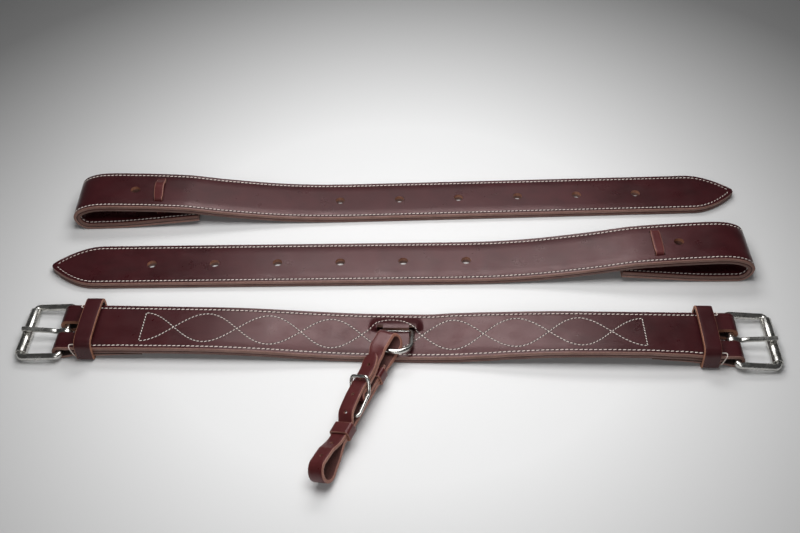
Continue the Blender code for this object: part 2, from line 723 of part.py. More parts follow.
def connector_strip(path):
    """Half width at each point: full, but rounded off at the billet's tip."""
    half_widths = []
    for s, n in path[-10:]:
        left = (s - BILLET_TIP_S) / CONNECTOR_TIP_LENGTH
        share = math.sqrt(max(1 - (1 - min(left, 1.0)) ** 2, 0.0))
        half_widths.append(max(CONNECTOR_HALF * share, CONNECTOR_TIP_HALF))
    return [CONNECTOR_HALF] * (len(path) - 10) + half_widths


def path_point(path, run):
    """The point and direction reached after going back a length from the path's end."""
    for k in range(len(path) - 1, 0, -1):
        step = math.dist(path[k], path[k - 1])
        if run <= step:
            share = run / step
            here = tuple(a + (b - a) * share for a, b in zip(path[k], path[k - 1]))
            return here, tuple((b - a) / step for a, b in zip(path[k], path[k - 1]))
        run -= step
    return path[0], (1.0, 0.0)


def make_connector():
    path = connector_path()
    widths = connector_strip(path)
    plies = [CONNECTOR_PLY] * len(path)
    sections = strap_sections(path, plies, widths, CONNECTOR_CHAMFER, connector_point)
    pivot = connector_point(0, 0, CONNECTOR_PLY + GAP + DEE_WIRE / 2)
    strap = loft("connector_strap", sections, leather("connector_strap"), pivot)

    solids = []
    for k in range(CONNECTOR_HOLE_COUNT):
        (s, n), (ds, dn) = path_point(path, CONNECTOR_HOLE_FIRST + k * CONNECTOR_HOLE_PITCH)
        depth = CONNECTOR_PLY / 2 + 0.25 * GAP
        radius = CONNECTOR_HOLE / 2
        ring = []
        for step in range(8):
            angle = 2 * math.pi * step / 8
            u = radius * math.cos(angle)
            ring.append((s + ds * u + dn * depth, radius * math.sin(angle), n + dn * u - ds * depth))
        base = [connector_point(*point) for point in ring]
        other = [connector_point(a - 2 * dn * depth, w, b + 2 * ds * depth) for a, w, b in ring]
        solids.append((base + other, prism(base, Vector((0, 0, 1)))[1]))
    half = SMALL_TONGUE_SLOT / 2
    slot_s = SMALL_CENTRE_BAR_S - SMALL_WIRE / 2 - GAP - 1.0 * MM
    far_s = SMALL_CENTRE_BAR_S + SMALL_FOLD_RADIUS + CONNECTOR_PLY / 2 + GAP / 2
    low = SMALL_CENTRE_BAR_N - SMALL_FOLD_RADIUS - CONNECTOR_PLY / 2 - GAP / 2
    high = SMALL_CENTRE_BAR_N + SMALL_FOLD_RADIUS + CONNECTOR_PLY / 2 + GAP / 2
    corners = ((slot_s, low), (far_s, low), (far_s, high), (slot_s, high))
    base = [connector_point(s, -half, n) for s, n in corners]
    across = connector_point(far_s, half, low) - connector_point(far_s, -half, low)
    solids.append(prism(base, across))
    boolean(strap, helper("cutter_connector_strap", solids), "DIFFERENCE", True)


def make_connector_buckle():
    """Centre-bar buckle: a wire loop, arched up at its top bar, with a bar across and a short tongue."""
    inner = CONNECTOR_HALF + SMALL_SIDE_PLAY
    half = inner + SMALL_WIRE / 2
    bar_s = SMALL_CENTRE_BAR_S
    bar_n = SMALL_CENTRE_BAR_N

    def side_view(u):
        """Height of the rails at u from the centre bar, towards the dee when u is negative."""
        if u >= 0:
            return bar_n - SMALL_HEEL_DROP * smoothstep(u / SMALL_HEEL_LENGTH)
        return bar_n + SMALL_TOP_RISE * (-u / SMALL_TOP_LENGTH) ** 1.5

    low = -SMALL_TOP_LENGTH
    high = SMALL_HEEL_LENGTH
    flat = rounded_box_path(half, low, high, SMALL_CORNER, 3)
    rails = [0.75 * high, 0.5 * high, 0.25 * high, 0.0, 0.35 * low, 0.6 * low]
    rails = [u for u in rails if low + SMALL_CORNER < u < high - SMALL_CORNER]
    dense = flat[:4] + [(half, u) for u in rails]
    dense += flat[4:12] + [(-half, u) for u in reversed(rails)]
    dense += flat[12:]

    sections = []
    count = len(dense)
    for k in range(count):
        before = dense[k - 1]
        after = dense[(k + 1) % count]
        start = connector_point(bar_s + before[1], before[0], side_view(before[1]))
        here = connector_point(bar_s + dense[k][1], dense[k][0], side_view(dense[k][1]))
        end = connector_point(bar_s + after[1], after[0], side_view(after[1]))
        tangent = (end - start).normalized()
        up = connector_point(bar_s, 0, 1) - connector_point(bar_s, 0, 0)
        outward = tangent.cross(up.normalized()).normalized()
        lift = outward.cross(tangent).normalized()
        sections.append(circle_outline(here, SMALL_WIRE / 2, outward, lift, 8))
    pivot = connector_point(bar_s, 0, bar_n)
    frame = loft("connector_buckle_frame", sections, nickel("connector_buckle_frame"), pivot, closed=True)

    left = connector_point(bar_s, -half, bar_n)
    right = connector_point(bar_s, half, bar_n)
    across = (right - left).normalized()
    along = (connector_point(bar_s + 1, 0, 0) - connector_point(bar_s, 0, 0)).normalized()
    bar_ring = circle_outline(left, SMALL_WIRE / 2 * 0.98, along, across.cross(along), 8)
    bar = helper("guide_connector_centre_bar", [prism(bar_ring, right - left)])
    boolean(frame, bar, "UNION")

    eye = SMALL_WIRE / 2 + GAP + SMALL_TONGUE_WIRE / 2
    over = side_view(high) + SMALL_WIRE / 2 + GAP + SMALL_TONGUE_WIRE / 2
    path = [(bar_s + high + SMALL_TONGUE_OVERHANG, over), (bar_s + high * 0.7, over + 0.1 * MM)]
    path += [(bar_s + high * 0.35, bar_n + eye * 0.72), (bar_s + high * 0.15, bar_n + eye * 0.93)]
    path += arc((bar_s, bar_n), eye, SMALL_EYE_START, SMALL_EYE_END, 8)
    widths = [(SMALL_TONGUE_WIRE / 2 * 1.3, SMALL_TONGUE_WIRE / 2)] * len(path)
    rings = tube_sections(path, 0, connector_point, flatten=widths, sides=6)
    loft("connector_buckle_tongue", rings, nickel("connector_buckle_tongue"), pivot)


def make_connector_keeper(name, centre_s, length, low, high):
    """A closed leather loop round the connector's layers between two heights."""
    mid = SMALL_KEEPER_PLY / 2
    half = CONNECTOR_HALF + GAP + mid
    path = rounded_box_path(half, low - GAP - mid, high + GAP + mid, SMALL_KEEPER_CORNER, 3)
    count = len(path)
    sections = strap_sections(
        path,
        [SMALL_KEEPER_PLY] * count,
        [length / 2] * count,
        CONNECTOR_CHAMFER,
        lambda a, w, b: connector_point(centre_s + w, a, b),
        closed=True,
    )
    loft(name, sections, leather(name), connector_point(centre_s, 0, low), closed=True)


def billet_path():
    """Mid-line of the two plies (d, z): d runs from the loop's outermost point to the tip."""
    mid = BILLET_MID
    radius = BILLET_LOOP_HEIGHT / 2 - mid
    top = BILLET_LOOP_HEIGHT - mid
    return_run = [
        (BILLET_RETURN, mid + BILLET_RETURN_RISE),
        (BILLET_RETURN * 0.72, mid + 3.3 * MM),
        (BILLET_RETURN * 0.48, mid + 1.0 * MM),
        (BILLET_RETURN * 0.31, mid + 0.05 * MM),
    ]
    loop = arc((radius + mid, mid + radius), radius, 270, 90, 12)
    run = [
        (BILLET_RETURN * 0.3, top),
        (BILLET_RETURN * 0.6, top - 1.6 * MM),
        (BILLET_RETURN * 0.87, top - 3.9 * MM),
        (BILLET_RETURN, top - 6.0 * MM),
        (BILLET_RETURN + 0.183 * BILLET_SLOPE_LENGTH, mid + 8.9 * MM),
        (BILLET_RETURN + 0.496 * BILLET_SLOPE_LENGTH, mid + 3.3 * MM),
        (BILLET_RETURN + 0.763 * BILLET_SLOPE_LENGTH, mid + 0.7 * MM),
        (BILLET_RETURN + BILLET_SLOPE_LENGTH, mid),
    ]
    path = spline(return_run, 2) + loop + spline(run, 3)
    flat = path[-1][0]
    stop = BILLET_LENGTH - BILLET_TIP_LENGTH
    path += [(flat + (stop - flat) * k / 6, mid) for k in range(1, 7)]
    path += [(stop + BILLET_TIP_LENGTH * k / 10, mid) for k in (2, 4, 5.5, 7, 8.2, 9.2, 10)]
    return path


def billet_half_width(d):
    """Full width, then an ogee down to the tip."""
    left = (BILLET_LENGTH - d) / BILLET_TIP_LENGTH
    if left >= 1:
        return HALF_WIDTH
    share = math.sin(left * math.pi / 2) ** 0.85
    return BILLET_TIP_HALF_WIDTH + (HALF_WIDTH - BILLET_TIP_HALF_WIDTH) * share


def make_billet(word, place_matrix, first_from_tip, loop_hole, lace_d, lace_slack):
    """A billet's face ply, lining and lace. place_matrix takes (d, across, z) to the world."""

    def place(a, w, b):
        return place_matrix @ Vector((a, w, b))

    path = billet_path()
    count = len(path)
    widths = [HALF_WIDTH] * (count - 8) + [billet_half_width(d) for d, _ in path[-8:]]
    first_hole = BILLET_LENGTH - first_from_tip
    hole_places = [first_hole - k * BILLET_HOLE_PITCH for k in range(BILLET_HOLE_COUNT)]
    hole_places.append(loop_hole)
    top_z = height_at(path, lace_d, True) + BILLET_MID
    low_z = height_at(path, lace_d, False) - BILLET_MID
    origin = place(BILLET_LENGTH / 2, 0, 0)
    x_axis = (place(1, 0, 0) - place(0, 0, 0)).normalized()
    y_axis = (place(0, 1, 0) - place(0, 0, 0)).normalized()
    for ply, offset in (("face_ply", 1), ("lining", -1)):
        name = word + "_billet_" + ply
        shift = offset * (BILLET_PLY + GAP) / 2
        sections = strap_sections(path, [BILLET_PLY] * count, widths, EDGE_CHAMFER, place, shift)
        obj = loft(name, sections, leather(name), origin)
        solids = []
        for d in hole_places:
            low = height_at(path, d, True) - BILLET_MID - 0.5 * MM
            ring = circle_outline(place(d, 0, low), BILLET_HOLE / 2, x_axis, y_axis)
            solids.append(prism(ring, Vector((0, 0, 2 * BILLET_MID + 1.0 * MM))))
        for side in (-1, 1):
            centre = side * LACE_HALF_SPAN
            half = LACE_PLY / 2 + GAP
            long = LACE_WIDTH / 2 + GAP
            corners = ((-long, -half), (long, -half), (long, half), (-long, half))
            ring = [place(lace_d + a, centre + b, low_z - CUT_MARGIN) for a, b in corners]
            solids.append(prism(ring, Vector((0, 0, top_z - low_z + 2 * CUT_MARGIN))))
        boolean(obj, helper("cutter_" + name, solids), "DIFFERENCE")

    mid = LACE_PLY / 2
    reach = LACE_HALF_SPAN
    corner = LACE_LIFT + GAP + mid
    high = top_z + corner
    low = low_z - corner
    ring = arc((reach - corner, high - corner), corner, 90, 0, 3)
    ring += arc((reach - corner, low + corner), corner, 0, -90, 3)
    ring += arc((-reach + corner, low + corner), corner, -90, -180, 3)
    ring += arc((-reach + corner, high - corner), corner, 180, 90, 3)
    ring += [(-reach * share, high) for share in (0.6, 0.35, 0.0, -0.35, -0.6)]
    lace_path = []
    for w, z in ring:
        arch = lace_slack * math.cos(w / reach * math.pi / 2) ** 2
        lace_path.append((w, z + arch if z > top_z else z))
    steps = len(lace_path)
    sections = strap_sections(
        lace_path,
        [LACE_PLY] * steps,
        [LACE_WIDTH / 2] * steps,
        LACE_CHAMFER,
        lambda a, w, b: place(lace_d + w, a, b),
        closed=True,
    )
    lace_name = word + "_billet_lace"
    loft(lace_name, sections, leather(lace_name), place(lace_d, 0, low_z), closed=True)


def height_at(path, d, upper):
    """Height of the path over d, on its upper run or on its return."""
    rows = path[len(path) // 4 :] if upper else path[: len(path) // 4]
    for start, end in zip(rows, rows[1:]):
        if min(start[0], end[0]) <= d <= max(start[0], end[0]) and start[0] != end[0]:
            return start[1] + (end[1] - start[1]) * (d - start[0]) / (end[0] - start[0])
    return path[-1][1]


def billet_matrix(loop_x, y_at_centre, yaw, direction):
    """Takes (d, across, z) to the world; direction is -1 where the tip lies to the left of the loop."""
    end = Vector((loop_x, y_at_centre + loop_x * math.tan(yaw), 0))
    along = Vector((math.cos(yaw), math.sin(yaw), 0)) * direction
    across = Vector((-math.sin(yaw), math.cos(yaw), 0))
    matrix = Matrix((along, across, Vector((0, 0, 1)))).transposed().to_4x4()
    return Matrix.Translation(end) @ matrix


def build():
    clear_scene()
    make_cinch()
    for side, word in ((-1, "left"), (1, "right")):
        make_buckle(side, word)
        make_keeper(side, word)
    make_dee()
    make_connector()
    make_connector_buckle()
    two_layers = CONNECTOR_PLY + LAYER_STEP
    make_connector_keeper("connector_keeper", MAIN_KEEPER_S, MAIN_KEEPER_LENGTH, 0, two_layers)
    tail_top = SMALL_CENTRE_BAR_N - SMALL_FOLD_RADIUS + TAIL_LIFT_AT_KEEPER + CONNECTOR_PLY / 2
    make_connector_keeper("connector_small_keeper", SMALL_KEEPER_S, SMALL_KEEPER_LENGTH, 0, tail_top)
    middle = billet_matrix(MIDDLE_BILLET_LOOP_X, MIDDLE_BILLET_Y, MIDDLE_BILLET_YAW, -1)
    make_billet("middle", middle, MIDDLE_FIRST_HOLE, MIDDLE_LOOP_HOLE, MIDDLE_LACE_D, 0.0)
    upper = billet_matrix(UPPER_BILLET_LOOP_X, UPPER_BILLET_Y, UPPER_BILLET_YAW, 1)
    make_billet("upper", upper, UPPER_FIRST_HOLE, UPPER_LOOP_HOLE, UPPER_LACE_D, UPPER_LACE_SLACK)


build()
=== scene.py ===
"""Looks of the western back cinch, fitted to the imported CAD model.

Sizes are millimetres in the row frame: X along the cinch, Y away from the camera, Z up from the table.
"""

from math import asin, cos, dist, hypot, pi, radians, sin, sqrt, tan

import bmesh
import bpy
from mathutils import Matrix, Vector


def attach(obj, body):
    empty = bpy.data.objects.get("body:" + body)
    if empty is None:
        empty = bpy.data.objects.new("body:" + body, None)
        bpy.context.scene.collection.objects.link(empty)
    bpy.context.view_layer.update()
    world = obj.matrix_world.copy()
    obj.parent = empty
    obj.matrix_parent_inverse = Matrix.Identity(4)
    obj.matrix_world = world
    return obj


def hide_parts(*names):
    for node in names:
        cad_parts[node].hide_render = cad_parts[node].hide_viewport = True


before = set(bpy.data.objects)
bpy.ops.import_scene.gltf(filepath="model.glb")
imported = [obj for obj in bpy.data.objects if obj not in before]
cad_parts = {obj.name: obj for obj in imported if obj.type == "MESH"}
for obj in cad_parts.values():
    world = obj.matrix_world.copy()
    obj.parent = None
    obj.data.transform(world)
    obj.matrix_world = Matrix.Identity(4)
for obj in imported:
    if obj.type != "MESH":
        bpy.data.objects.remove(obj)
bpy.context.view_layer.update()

MM = 0.001
GRAIN, EDGE, FLESH, WALL = 0, 1, 2, 3

# Cinch
HALF_WIDTH = 22.25
PLY = 2.9
GAP = 0.3
SEAM_GAP = 0.04
SEAM_INSET = 3.1
SEAM_DEPTH = 0.26
EDGE_PITCH = 3.5
WAVE_PITCH = 2.9
TOP_ROW_END = 239.0
LOW_ROW_END = 186.0
LOCK_X = 240.0
HEEL_BAR_X = 250.0
BUCKLE_WIRE = 5.3
BUCKLE_LENGTH = 30.0
ROLLER_DIAMETER = 8.5
KEEPER_X = 230.5
KEEPER_LENGTH = 12.5
KEEPER_PLY = 2.8
KEEPER_ARCH = 1.3
SLOT_HALF = 5.75
SLOT_Y = -0.8
TONGUE_Y = -2.8
TONGUE_WIRE = 3.9
TONGUE_EYE_PLY = 2.4
FRAME_CORNER = 3.3
RETURN_PLY = 2.3
RETURN_SKIVE = 0.6
RETURN_TIP_X = 188.0
LINING_END_X = 240.5
RISE_AT_KEEPER = KEEPER_PLY + GAP + RETURN_PLY + GAP
TOP_AT_KEEPER = RISE_AT_KEEPER + PLY + GAP + PLY
HEEL_MID_RADIUS = BUCKLE_WIRE / 2 + GAP + PLY / 2
HEEL_BAR_Z = TOP_AT_KEEPER - PLY / 2 - HEEL_MID_RADIUS
KEEPER_INNER_X = KEEPER_X - KEEPER_LENGTH / 2
KEEPER_OUTER_X = KEEPER_X + KEEPER_LENGTH / 2
FACE_TOP = 2 * PLY + GAP

# Dee
DEE_X = -0.1
DEE_BAR_Y = 5.8
DEE_WIRE = 3.8
DEE_SIDE = 12.2
DEE_DEPTH = 30.0
DEE_TILT = radians(17.5)
DEE_Z = 4.2
DEE_CLEAR = DEE_WIRE / 2 + GAP
HUMP_HEIGHT = DEE_Z + DEE_WIRE / 2 - PLY
SLIT_WIDTH = 1.2
SLIT_FRONT = DEE_BAR_Y - DEE_CLEAR
SLIT_BACK = DEE_BAR_Y + DEE_CLEAR

# Connector
CONNECTOR_HALF = 5.75
CONNECTOR_PLY = 2.5
CONNECTOR_ORIGIN = Vector((-3.5, -20.3, 7.35))
LAYER_STEP = CONNECTOR_PLY + GAP
SMALL_WIRE = 2.4
BAR_S = 50.0
BAR_N = 6.9
SMALL_HEEL = 18.0
SMALL_DROP = 1.8
SMALL_TOP = 8.7
DEE_LOOP = 5.55
MAIN_KEEPER_S = 80.5
MAIN_KEEPER_LENGTH = 9.5
SMALL_KEEPER_S = 25.8
SMALL_KEEPER_LENGTH = 9.0
CONNECTOR_KEEPER_PLY = 1.6
CONNECTOR_HOLE = 1.3

# Billets
BILLET_PLY = 2.65
BILLET_MID = BILLET_PLY + GAP / 2
BILLET_LENGTH = 560.5
BILLET_TIP = 38.0
BILLET_RETURN = 104.0
BILLET_LOOP = 24.7
LOOP_SHOULDER = 22.0
BILLET_PITCH = 3.35
BILLET_HOLES = 6
HOLE_PITCH = 50.8
HOLE_RADIUS = 3.9
LACE_PLY = 2.0
LACE_HALF = 3.75
LACE_REACH = 13.0
LACE_SLIT_HALF = (4.0, 1.25)


def smooth(t):
    t = min(max(t, 0.0), 1.0)
    return t * t * (3 - 2 * t)


def spaced(start, end, count):
    return [start + (end - start) * k / count for k in range(count + 1)]


# Materials


class Nodes:
    """Short ways to add and join shader nodes in one material."""

    def __init__(self, name):
        self.material = bpy.data.materials.new(name)
        self.material.use_nodes = True
        self.tree = self.material.node_tree
        self.shader = self.tree.nodes["Principled BSDF"]

    def put(self, node, **values):
        """Links outputs to a node's sockets, or sets values on them. An underscore stands for a space."""
        for key, value in values.items():
            socket = node.inputs.get(key.replace("_", " "))
            if socket is None:
                setattr(node, key, value)
            elif isinstance(value, bpy.types.NodeSocket):
                self.tree.links.new(value, socket)
            elif socket.type == "RGBA":
                socket.default_value = (*value, 1.0)
            else:
                socket.default_value = value
        return node

    def add(self, kind, **values):
        return self.put(self.tree.nodes.new(kind), **values)

    def finish(self, **values):
        self.put(self.shader, **values)
        return self.material

    def place(self):
        return self.add("ShaderNodeTexCoord").outputs["Object"]

    def noise(self, vector, scale, detail=3.0, roughness=0.55, distortion=0.0):
        node = self.add("ShaderNodeTexNoise", Vector=vector, Scale=scale, Detail=detail)
        return self.put(node, Roughness=roughness, Distortion=distortion).outputs["Fac"]

    def stretched(self, vector, scale):
        return self.add("ShaderNodeMapping", Vector=vector, Scale=scale).outputs["Vector"]

    def ramp(self, factor, stops):
        node = self.add("ShaderNodeValToRGB", Fac=factor)
        elements = node.color_ramp.elements
        while len(elements) < len(stops):
            elements.new(0.5)
        for element, (position, colour) in zip(elements, stops):
            element.position = position
            element.color = (*colour, 1.0)
        return node.outputs["Color"]

    def spread(self, factor, low, high, from_low=0.3, from_high=0.7):
        node = self.add("ShaderNodeMapRange", Value=factor, From_Min=from_low, From_Max=from_high)
        return self.put(node, To_Min=low, To_Max=high).outputs["Result"]

    def mix(self, factor, first, second):
        node = self.add("ShaderNodeMix", data_type="RGBA")
        return self.put(node, Factor=factor, A=first, B=second).outputs["Result"]

    def bump(self, height, distance, strength, normal=None):
        node = self.add("ShaderNodeBump", Height=height, Distance=distance, Strength=strength)
        if normal:
            self.put(node, Normal=normal)
        return node.outputs["Normal"]


def grain_leather(name, dark, mid, light, roughness):
    """Waxed grain side: slow dye mottling, fine pores and soft creases."""
    n = Nodes(name)
    where = n.place()
    mottle = n.noise(where, 34, 5, 0.6, 0.4)
    cloud = n.noise(where, 9, 2)
    colour = n.ramp(mottle, ((0.28, dark), (0.5, mid), (0.78, light)))
    colour = n.mix(n.spread(cloud, 0.0, 0.35), colour, dark)
    pores = n.add("ShaderNodeTexVoronoi", feature="DISTANCE_TO_EDGE", Vector=where, Scale=1250.0)
    cell = n.spread(pores.outputs["Distance"], 0.0, 1.0, 0.0, 0.22)
    colour = n.mix(n.spread(cell, 0.22, 0.0, 0.0, 1.0), colour, dark)
    rough = n.spread(n.noise(where, 70, 4), roughness - 0.05, roughness + 0.07)
    crease = n.noise(n.stretched(where, (1.0, 2.4, 1.0)), 190, 2, 0.5)
    normal = n.bump(cell, 0.00002, 0.5, n.bump(crease, 0.00005, 0.5))
    n.put(n.shader, Specular_IOR_Level=0.48, Specular_Tint=(1.0, 0.72, 0.71))
    return n.finish(Base_Color=colour, Roughness=rough, Normal=normal)


def edge_leather(name, dark, mid, light, roughness=0.5):
    """Burnished cut edge: fibres run along the strap, with darker smears of dye."""
    n = Nodes(name)
    where = n.place()
    fibre = n.noise(n.stretched(where, (0.35, 0.35, 1.0)), 2400, 4, 0.6)
    smear = n.noise(n.stretched(where, (1.0, 1.0, 2.0)), 75, 4, 0.6)
    colour = n.ramp(fibre, ((0.25, dark), (0.5, mid), (0.75, light)))
    colour = n.mix(n.spread(smear, 0.0, 0.55, 0.42, 0.75), colour, dark)
    rough = n.spread(smear, roughness - 0.1, roughness + 0.12)
    return n.finish(Base_Color=colour, Roughness=rough, Normal=n.bump(fibre, 0.00006, 0.5))


def flesh_leather(name, dark, light):
    """Flesh side: short matted fibres."""
    n = Nodes(name)
    where = n.place()
    nap = n.noise(where, 900, 6, 0.7, 1.2)
    colour = n.ramp(nap, ((0.3, dark), (0.7, light)))
    colour = n.mix(n.spread(n.noise(where, 40, 3), 0.0, 0.4), colour, dark)
    return n.finish(Base_Color=colour, Roughness=0.82, Normal=n.bump(nap, 0.00015, 0.8))


def nickel(name, roughness):
    """Polished nickel plate with faint wear and hairline scratches."""
    n = Nodes(name)
    where = n.place()
    wear = n.noise(where, 150, 5, 0.65)
    hairs = n.noise(n.stretched(where, (0.08, 1.0, 1.0)), 2600, 2)
    colour = n.ramp(wear, ((0.3, (0.50, 0.49, 0.46)), (0.7, (0.68, 0.67, 0.64))))
    rough = n.spread(wear, roughness - 0.05, roughness + 0.08)
    return n.finish(Base_Color=colour, Metallic=1.0, Roughness=rough, Normal=n.bump(hairs, 0.000003, 0.2))


def thread(name):
    """Waxed linen thread with its twist."""
    n = Nodes(name)
    where = n.place()
    twist = n.add("ShaderNodeTexWave", bands_direction="DIAGONAL", Vector=where, Scale=700.0, Distortion=1.5)
    soil = n.noise(where, 120, 3)
    colour = n.mix(n.spread(soil, 0.0, 0.4), (0.80, 0.72, 0.66), (0.58, 0.45, 0.40))
    return n.finish(Base_Color=colour, Roughness=0.6, Normal=n.bump(twist.outputs["Fac"], 0.00006, 0.6))


dark_grain = grain_leather(
    "dark_grain", (0.026, 0.0042, 0.0056), (0.046, 0.0078, 0.0100), (0.064, 0.0122, 0.0150), 0.31
)
dark_edge = edge_leather("dark_edge", (0.150, 0.070, 0.052), (0.235, 0.120, 0.092), (0.300, 0.165, 0.130))
# A darker copy of dark_edge for the lining's edges and hole walls: painted shade of the lower ply, nearer the
# table and deeper in the holes
shaded_low_edge = edge_leather("shaded_low_edge", (0.085, 0.036, 0.026), (0.140, 0.066, 0.050), (0.190, 0.095, 0.072))
dark_flesh = flesh_leather("dark_flesh", (0.018, 0.008, 0.007), (0.045, 0.022, 0.018))
cut_edge = edge_leather("cut_edge", (0.200, 0.075, 0.042), (0.330, 0.140, 0.080), (0.430, 0.210, 0.130), 0.6)
# Dark stitch line colour: partly the darkened impressed leather, partly painted shade in the stitch groove
seam_shade_mark = edge_leather(
    "seam_shade_mark", (0.010, 0.003, 0.003), (0.017, 0.005, 0.005), (0.028, 0.009, 0.009), 0.6
)
red_grain = grain_leather(
    "red_grain", (0.060, 0.0110, 0.0120), (0.086, 0.0172, 0.0172), (0.135, 0.0300, 0.0310), 0.32
)
red_edge = edge_leather("red_edge", (0.180, 0.070, 0.048), (0.300, 0.130, 0.092), (0.400, 0.200, 0.150), 0.55)
red_flesh = flesh_leather("red_flesh", (0.045, 0.012, 0.010), (0.110, 0.036, 0.028))
plate = nickel("nickel_plate", 0.24)
linen = thread("linen_thread")

# Materials in the order of the kinds GRAIN, EDGE, FLESH and WALL
LEATHER = (dark_grain, dark_edge, dark_flesh, cut_edge)
# The lining takes the darker edge copy, painted shade of the lower ply
LINING_LEATHER = (dark_grain, shaded_low_edge, dark_flesh, cut_edge)
KEEPER_LEATHER = (dark_grain, cut_edge, dark_flesh)
RED_LEATHER = (red_grain, red_edge, red_flesh)


# Mesh helpers


def piece(name, points, faces, kinds, materials, body, nodes=(), sharp=38.0):
    """A shown piece from points in millimetres. kinds gives each face its material."""
    mesh = bpy.data.meshes.new(name)
    mesh.from_pydata([tuple(c * MM for c in point) for point in points], [], faces)
    for material in materials:
        mesh.materials.append(material)
    if kinds:
        mesh.polygons.foreach_set("material_index", kinds)
    shell = bmesh.new()
    shell.from_mesh(mesh)
    bmesh.ops.recalc_face_normals(shell, faces=shell.faces)
    shell.to_mesh(mesh)
    shell.free()
    mesh.shade_smooth()
    mesh.set_sharp_from_angle(angle=radians(sharp))
    obj = bpy.data.objects.new(name, mesh)
    bpy.context.scene.collection.objects.link(obj)
    if body:
        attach(obj, body)
        if nodes:
            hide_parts(*nodes)
    return obj


def loft_faces(first, rows, size, closed=False):
    """Faces between equal rings from point number first on, with an end face at each end of an open run."""
    faces = []
    for row in range(rows if closed else rows - 1):
        here = first + row * size
        there = first + (row + 1) % rows * size
        for k in range(size):
            after = (k + 1) % size
            faces.append((here + k, here + after, there + after, there + k))
    if not closed:
        faces.append(tuple(range(first, first + size)))
        faces.append(tuple(range(first + (rows - 1) * size, first + rows * size)))
    return faces


def skin(sections, closed=False):
    """Points and faces of a loft through equal rings."""
    points = [point for section in sections for point in section]
    return points, loft_faces(0, len(sections), len(sections[0]), closed)


def join(parts):
    """Points and faces of several closed parts as one shape."""
    points, faces = [], []
    for part_points, part_faces in parts:
        first = len(points)
        points += part_points
        faces += [tuple(first + k for k in face) for face in part_faces]
    return points, faces


def cut(obj, solids, wall=EDGE):
    """Cuts closed prisms out of a piece; wall is the kind of the new faces."""
    points, faces = join(solids)
    tool = piece(obj.name + "_tool", points, faces, [wall] * len(faces), list(obj.data.materials), None)
    modifier = obj.modifiers.new("Cut", "BOOLEAN")
    modifier.operation = "DIFFERENCE"
    modifier.solver = "EXACT"
    modifier.use_self = True
    modifier.material_mode = "INDEX"
    modifier.object = tool
    bpy.context.view_layer.update()
    made = bpy.data.meshes.new_from_object(obj.evaluated_get(bpy.context.evaluated_depsgraph_get()))
    obj.modifiers.clear()
    obj.data = made
    made.shade_smooth()
    made.set_sharp_from_angle(angle=radians(38))
    bpy.data.objects.remove(tool)


def prism(outline, direction):
    """Points and faces of a prism, its two ends first."""
    faces = loft_faces(0, 2, len(outline))
    return list(outline) + [point + direction for point in outline], faces[-2:] + faces[:-2]


def disc(centre, radius, first, second, sides=24):
    turn = 2 * pi / sides
    return [centre + (first * cos(k * turn) + second * sin(k * turn)) * radius for k in range(sides)]


def arc(centre, radius, start, end, count):
    result = []
    for k in range(count + 1):
        angle = radians(start + (end - start) * k / count)
        result.append((centre[0] + radius * cos(angle), centre[1] + radius * sin(angle)))
    return result


def spline(points, steps):
    ends = [points[0]] + list(points) + [points[-1]]
    result = []
    for k in range(1, len(ends) - 2):
        for step in range(steps):
            t = step / steps
            row = []
            for a, b, c, d in zip(ends[k - 1], ends[k], ends[k + 1], ends[k + 2]):
                curve = (2 * a - 5 * b + 4 * c - d) * t * t + (3 * b - a - 3 * c + d) * t**3
                row.append(0.5 * (2 * b + (c - a) * t + curve))
            result.append(tuple(row))
    result.append(tuple(points[-1]))
    return result


def normals_of(path, closed=False):
    result = []
    count = len(path)
    for k in range(count):
        before = path[(k - 1) % count] if closed or k > 0 else path[0]
        after = path[(k + 1) % count] if closed or k < count - 1 else path[-1]
        total = Vector((0, 0))
        sides = []
        for start, end in ((before, path[k]), (path[k], after)):
            step = Vector((end[0] - start[0], end[1] - start[1]))
            if step.length > 1e-9:
                sides.append(Vector((-step.y, step.x)) / step.length)
                total += sides[-1]
        unit = total.normalized()
        result.append(unit / max(unit.dot(sides[0]), 0.5))
    return result


def rounded_box(half, low, high, radius, count=8, top_radius=None):
    top = top_radius or radius
    path = arc((half - top, high - top), top, 90, 0, count)
    path += arc((half - radius, low + radius), radius, 0, -90, count)
    path += arc((-half + radius, low + radius), radius, -90, -180, count)
    path += arc((-half + top, high - top), top, 180, 90, count)
    return path


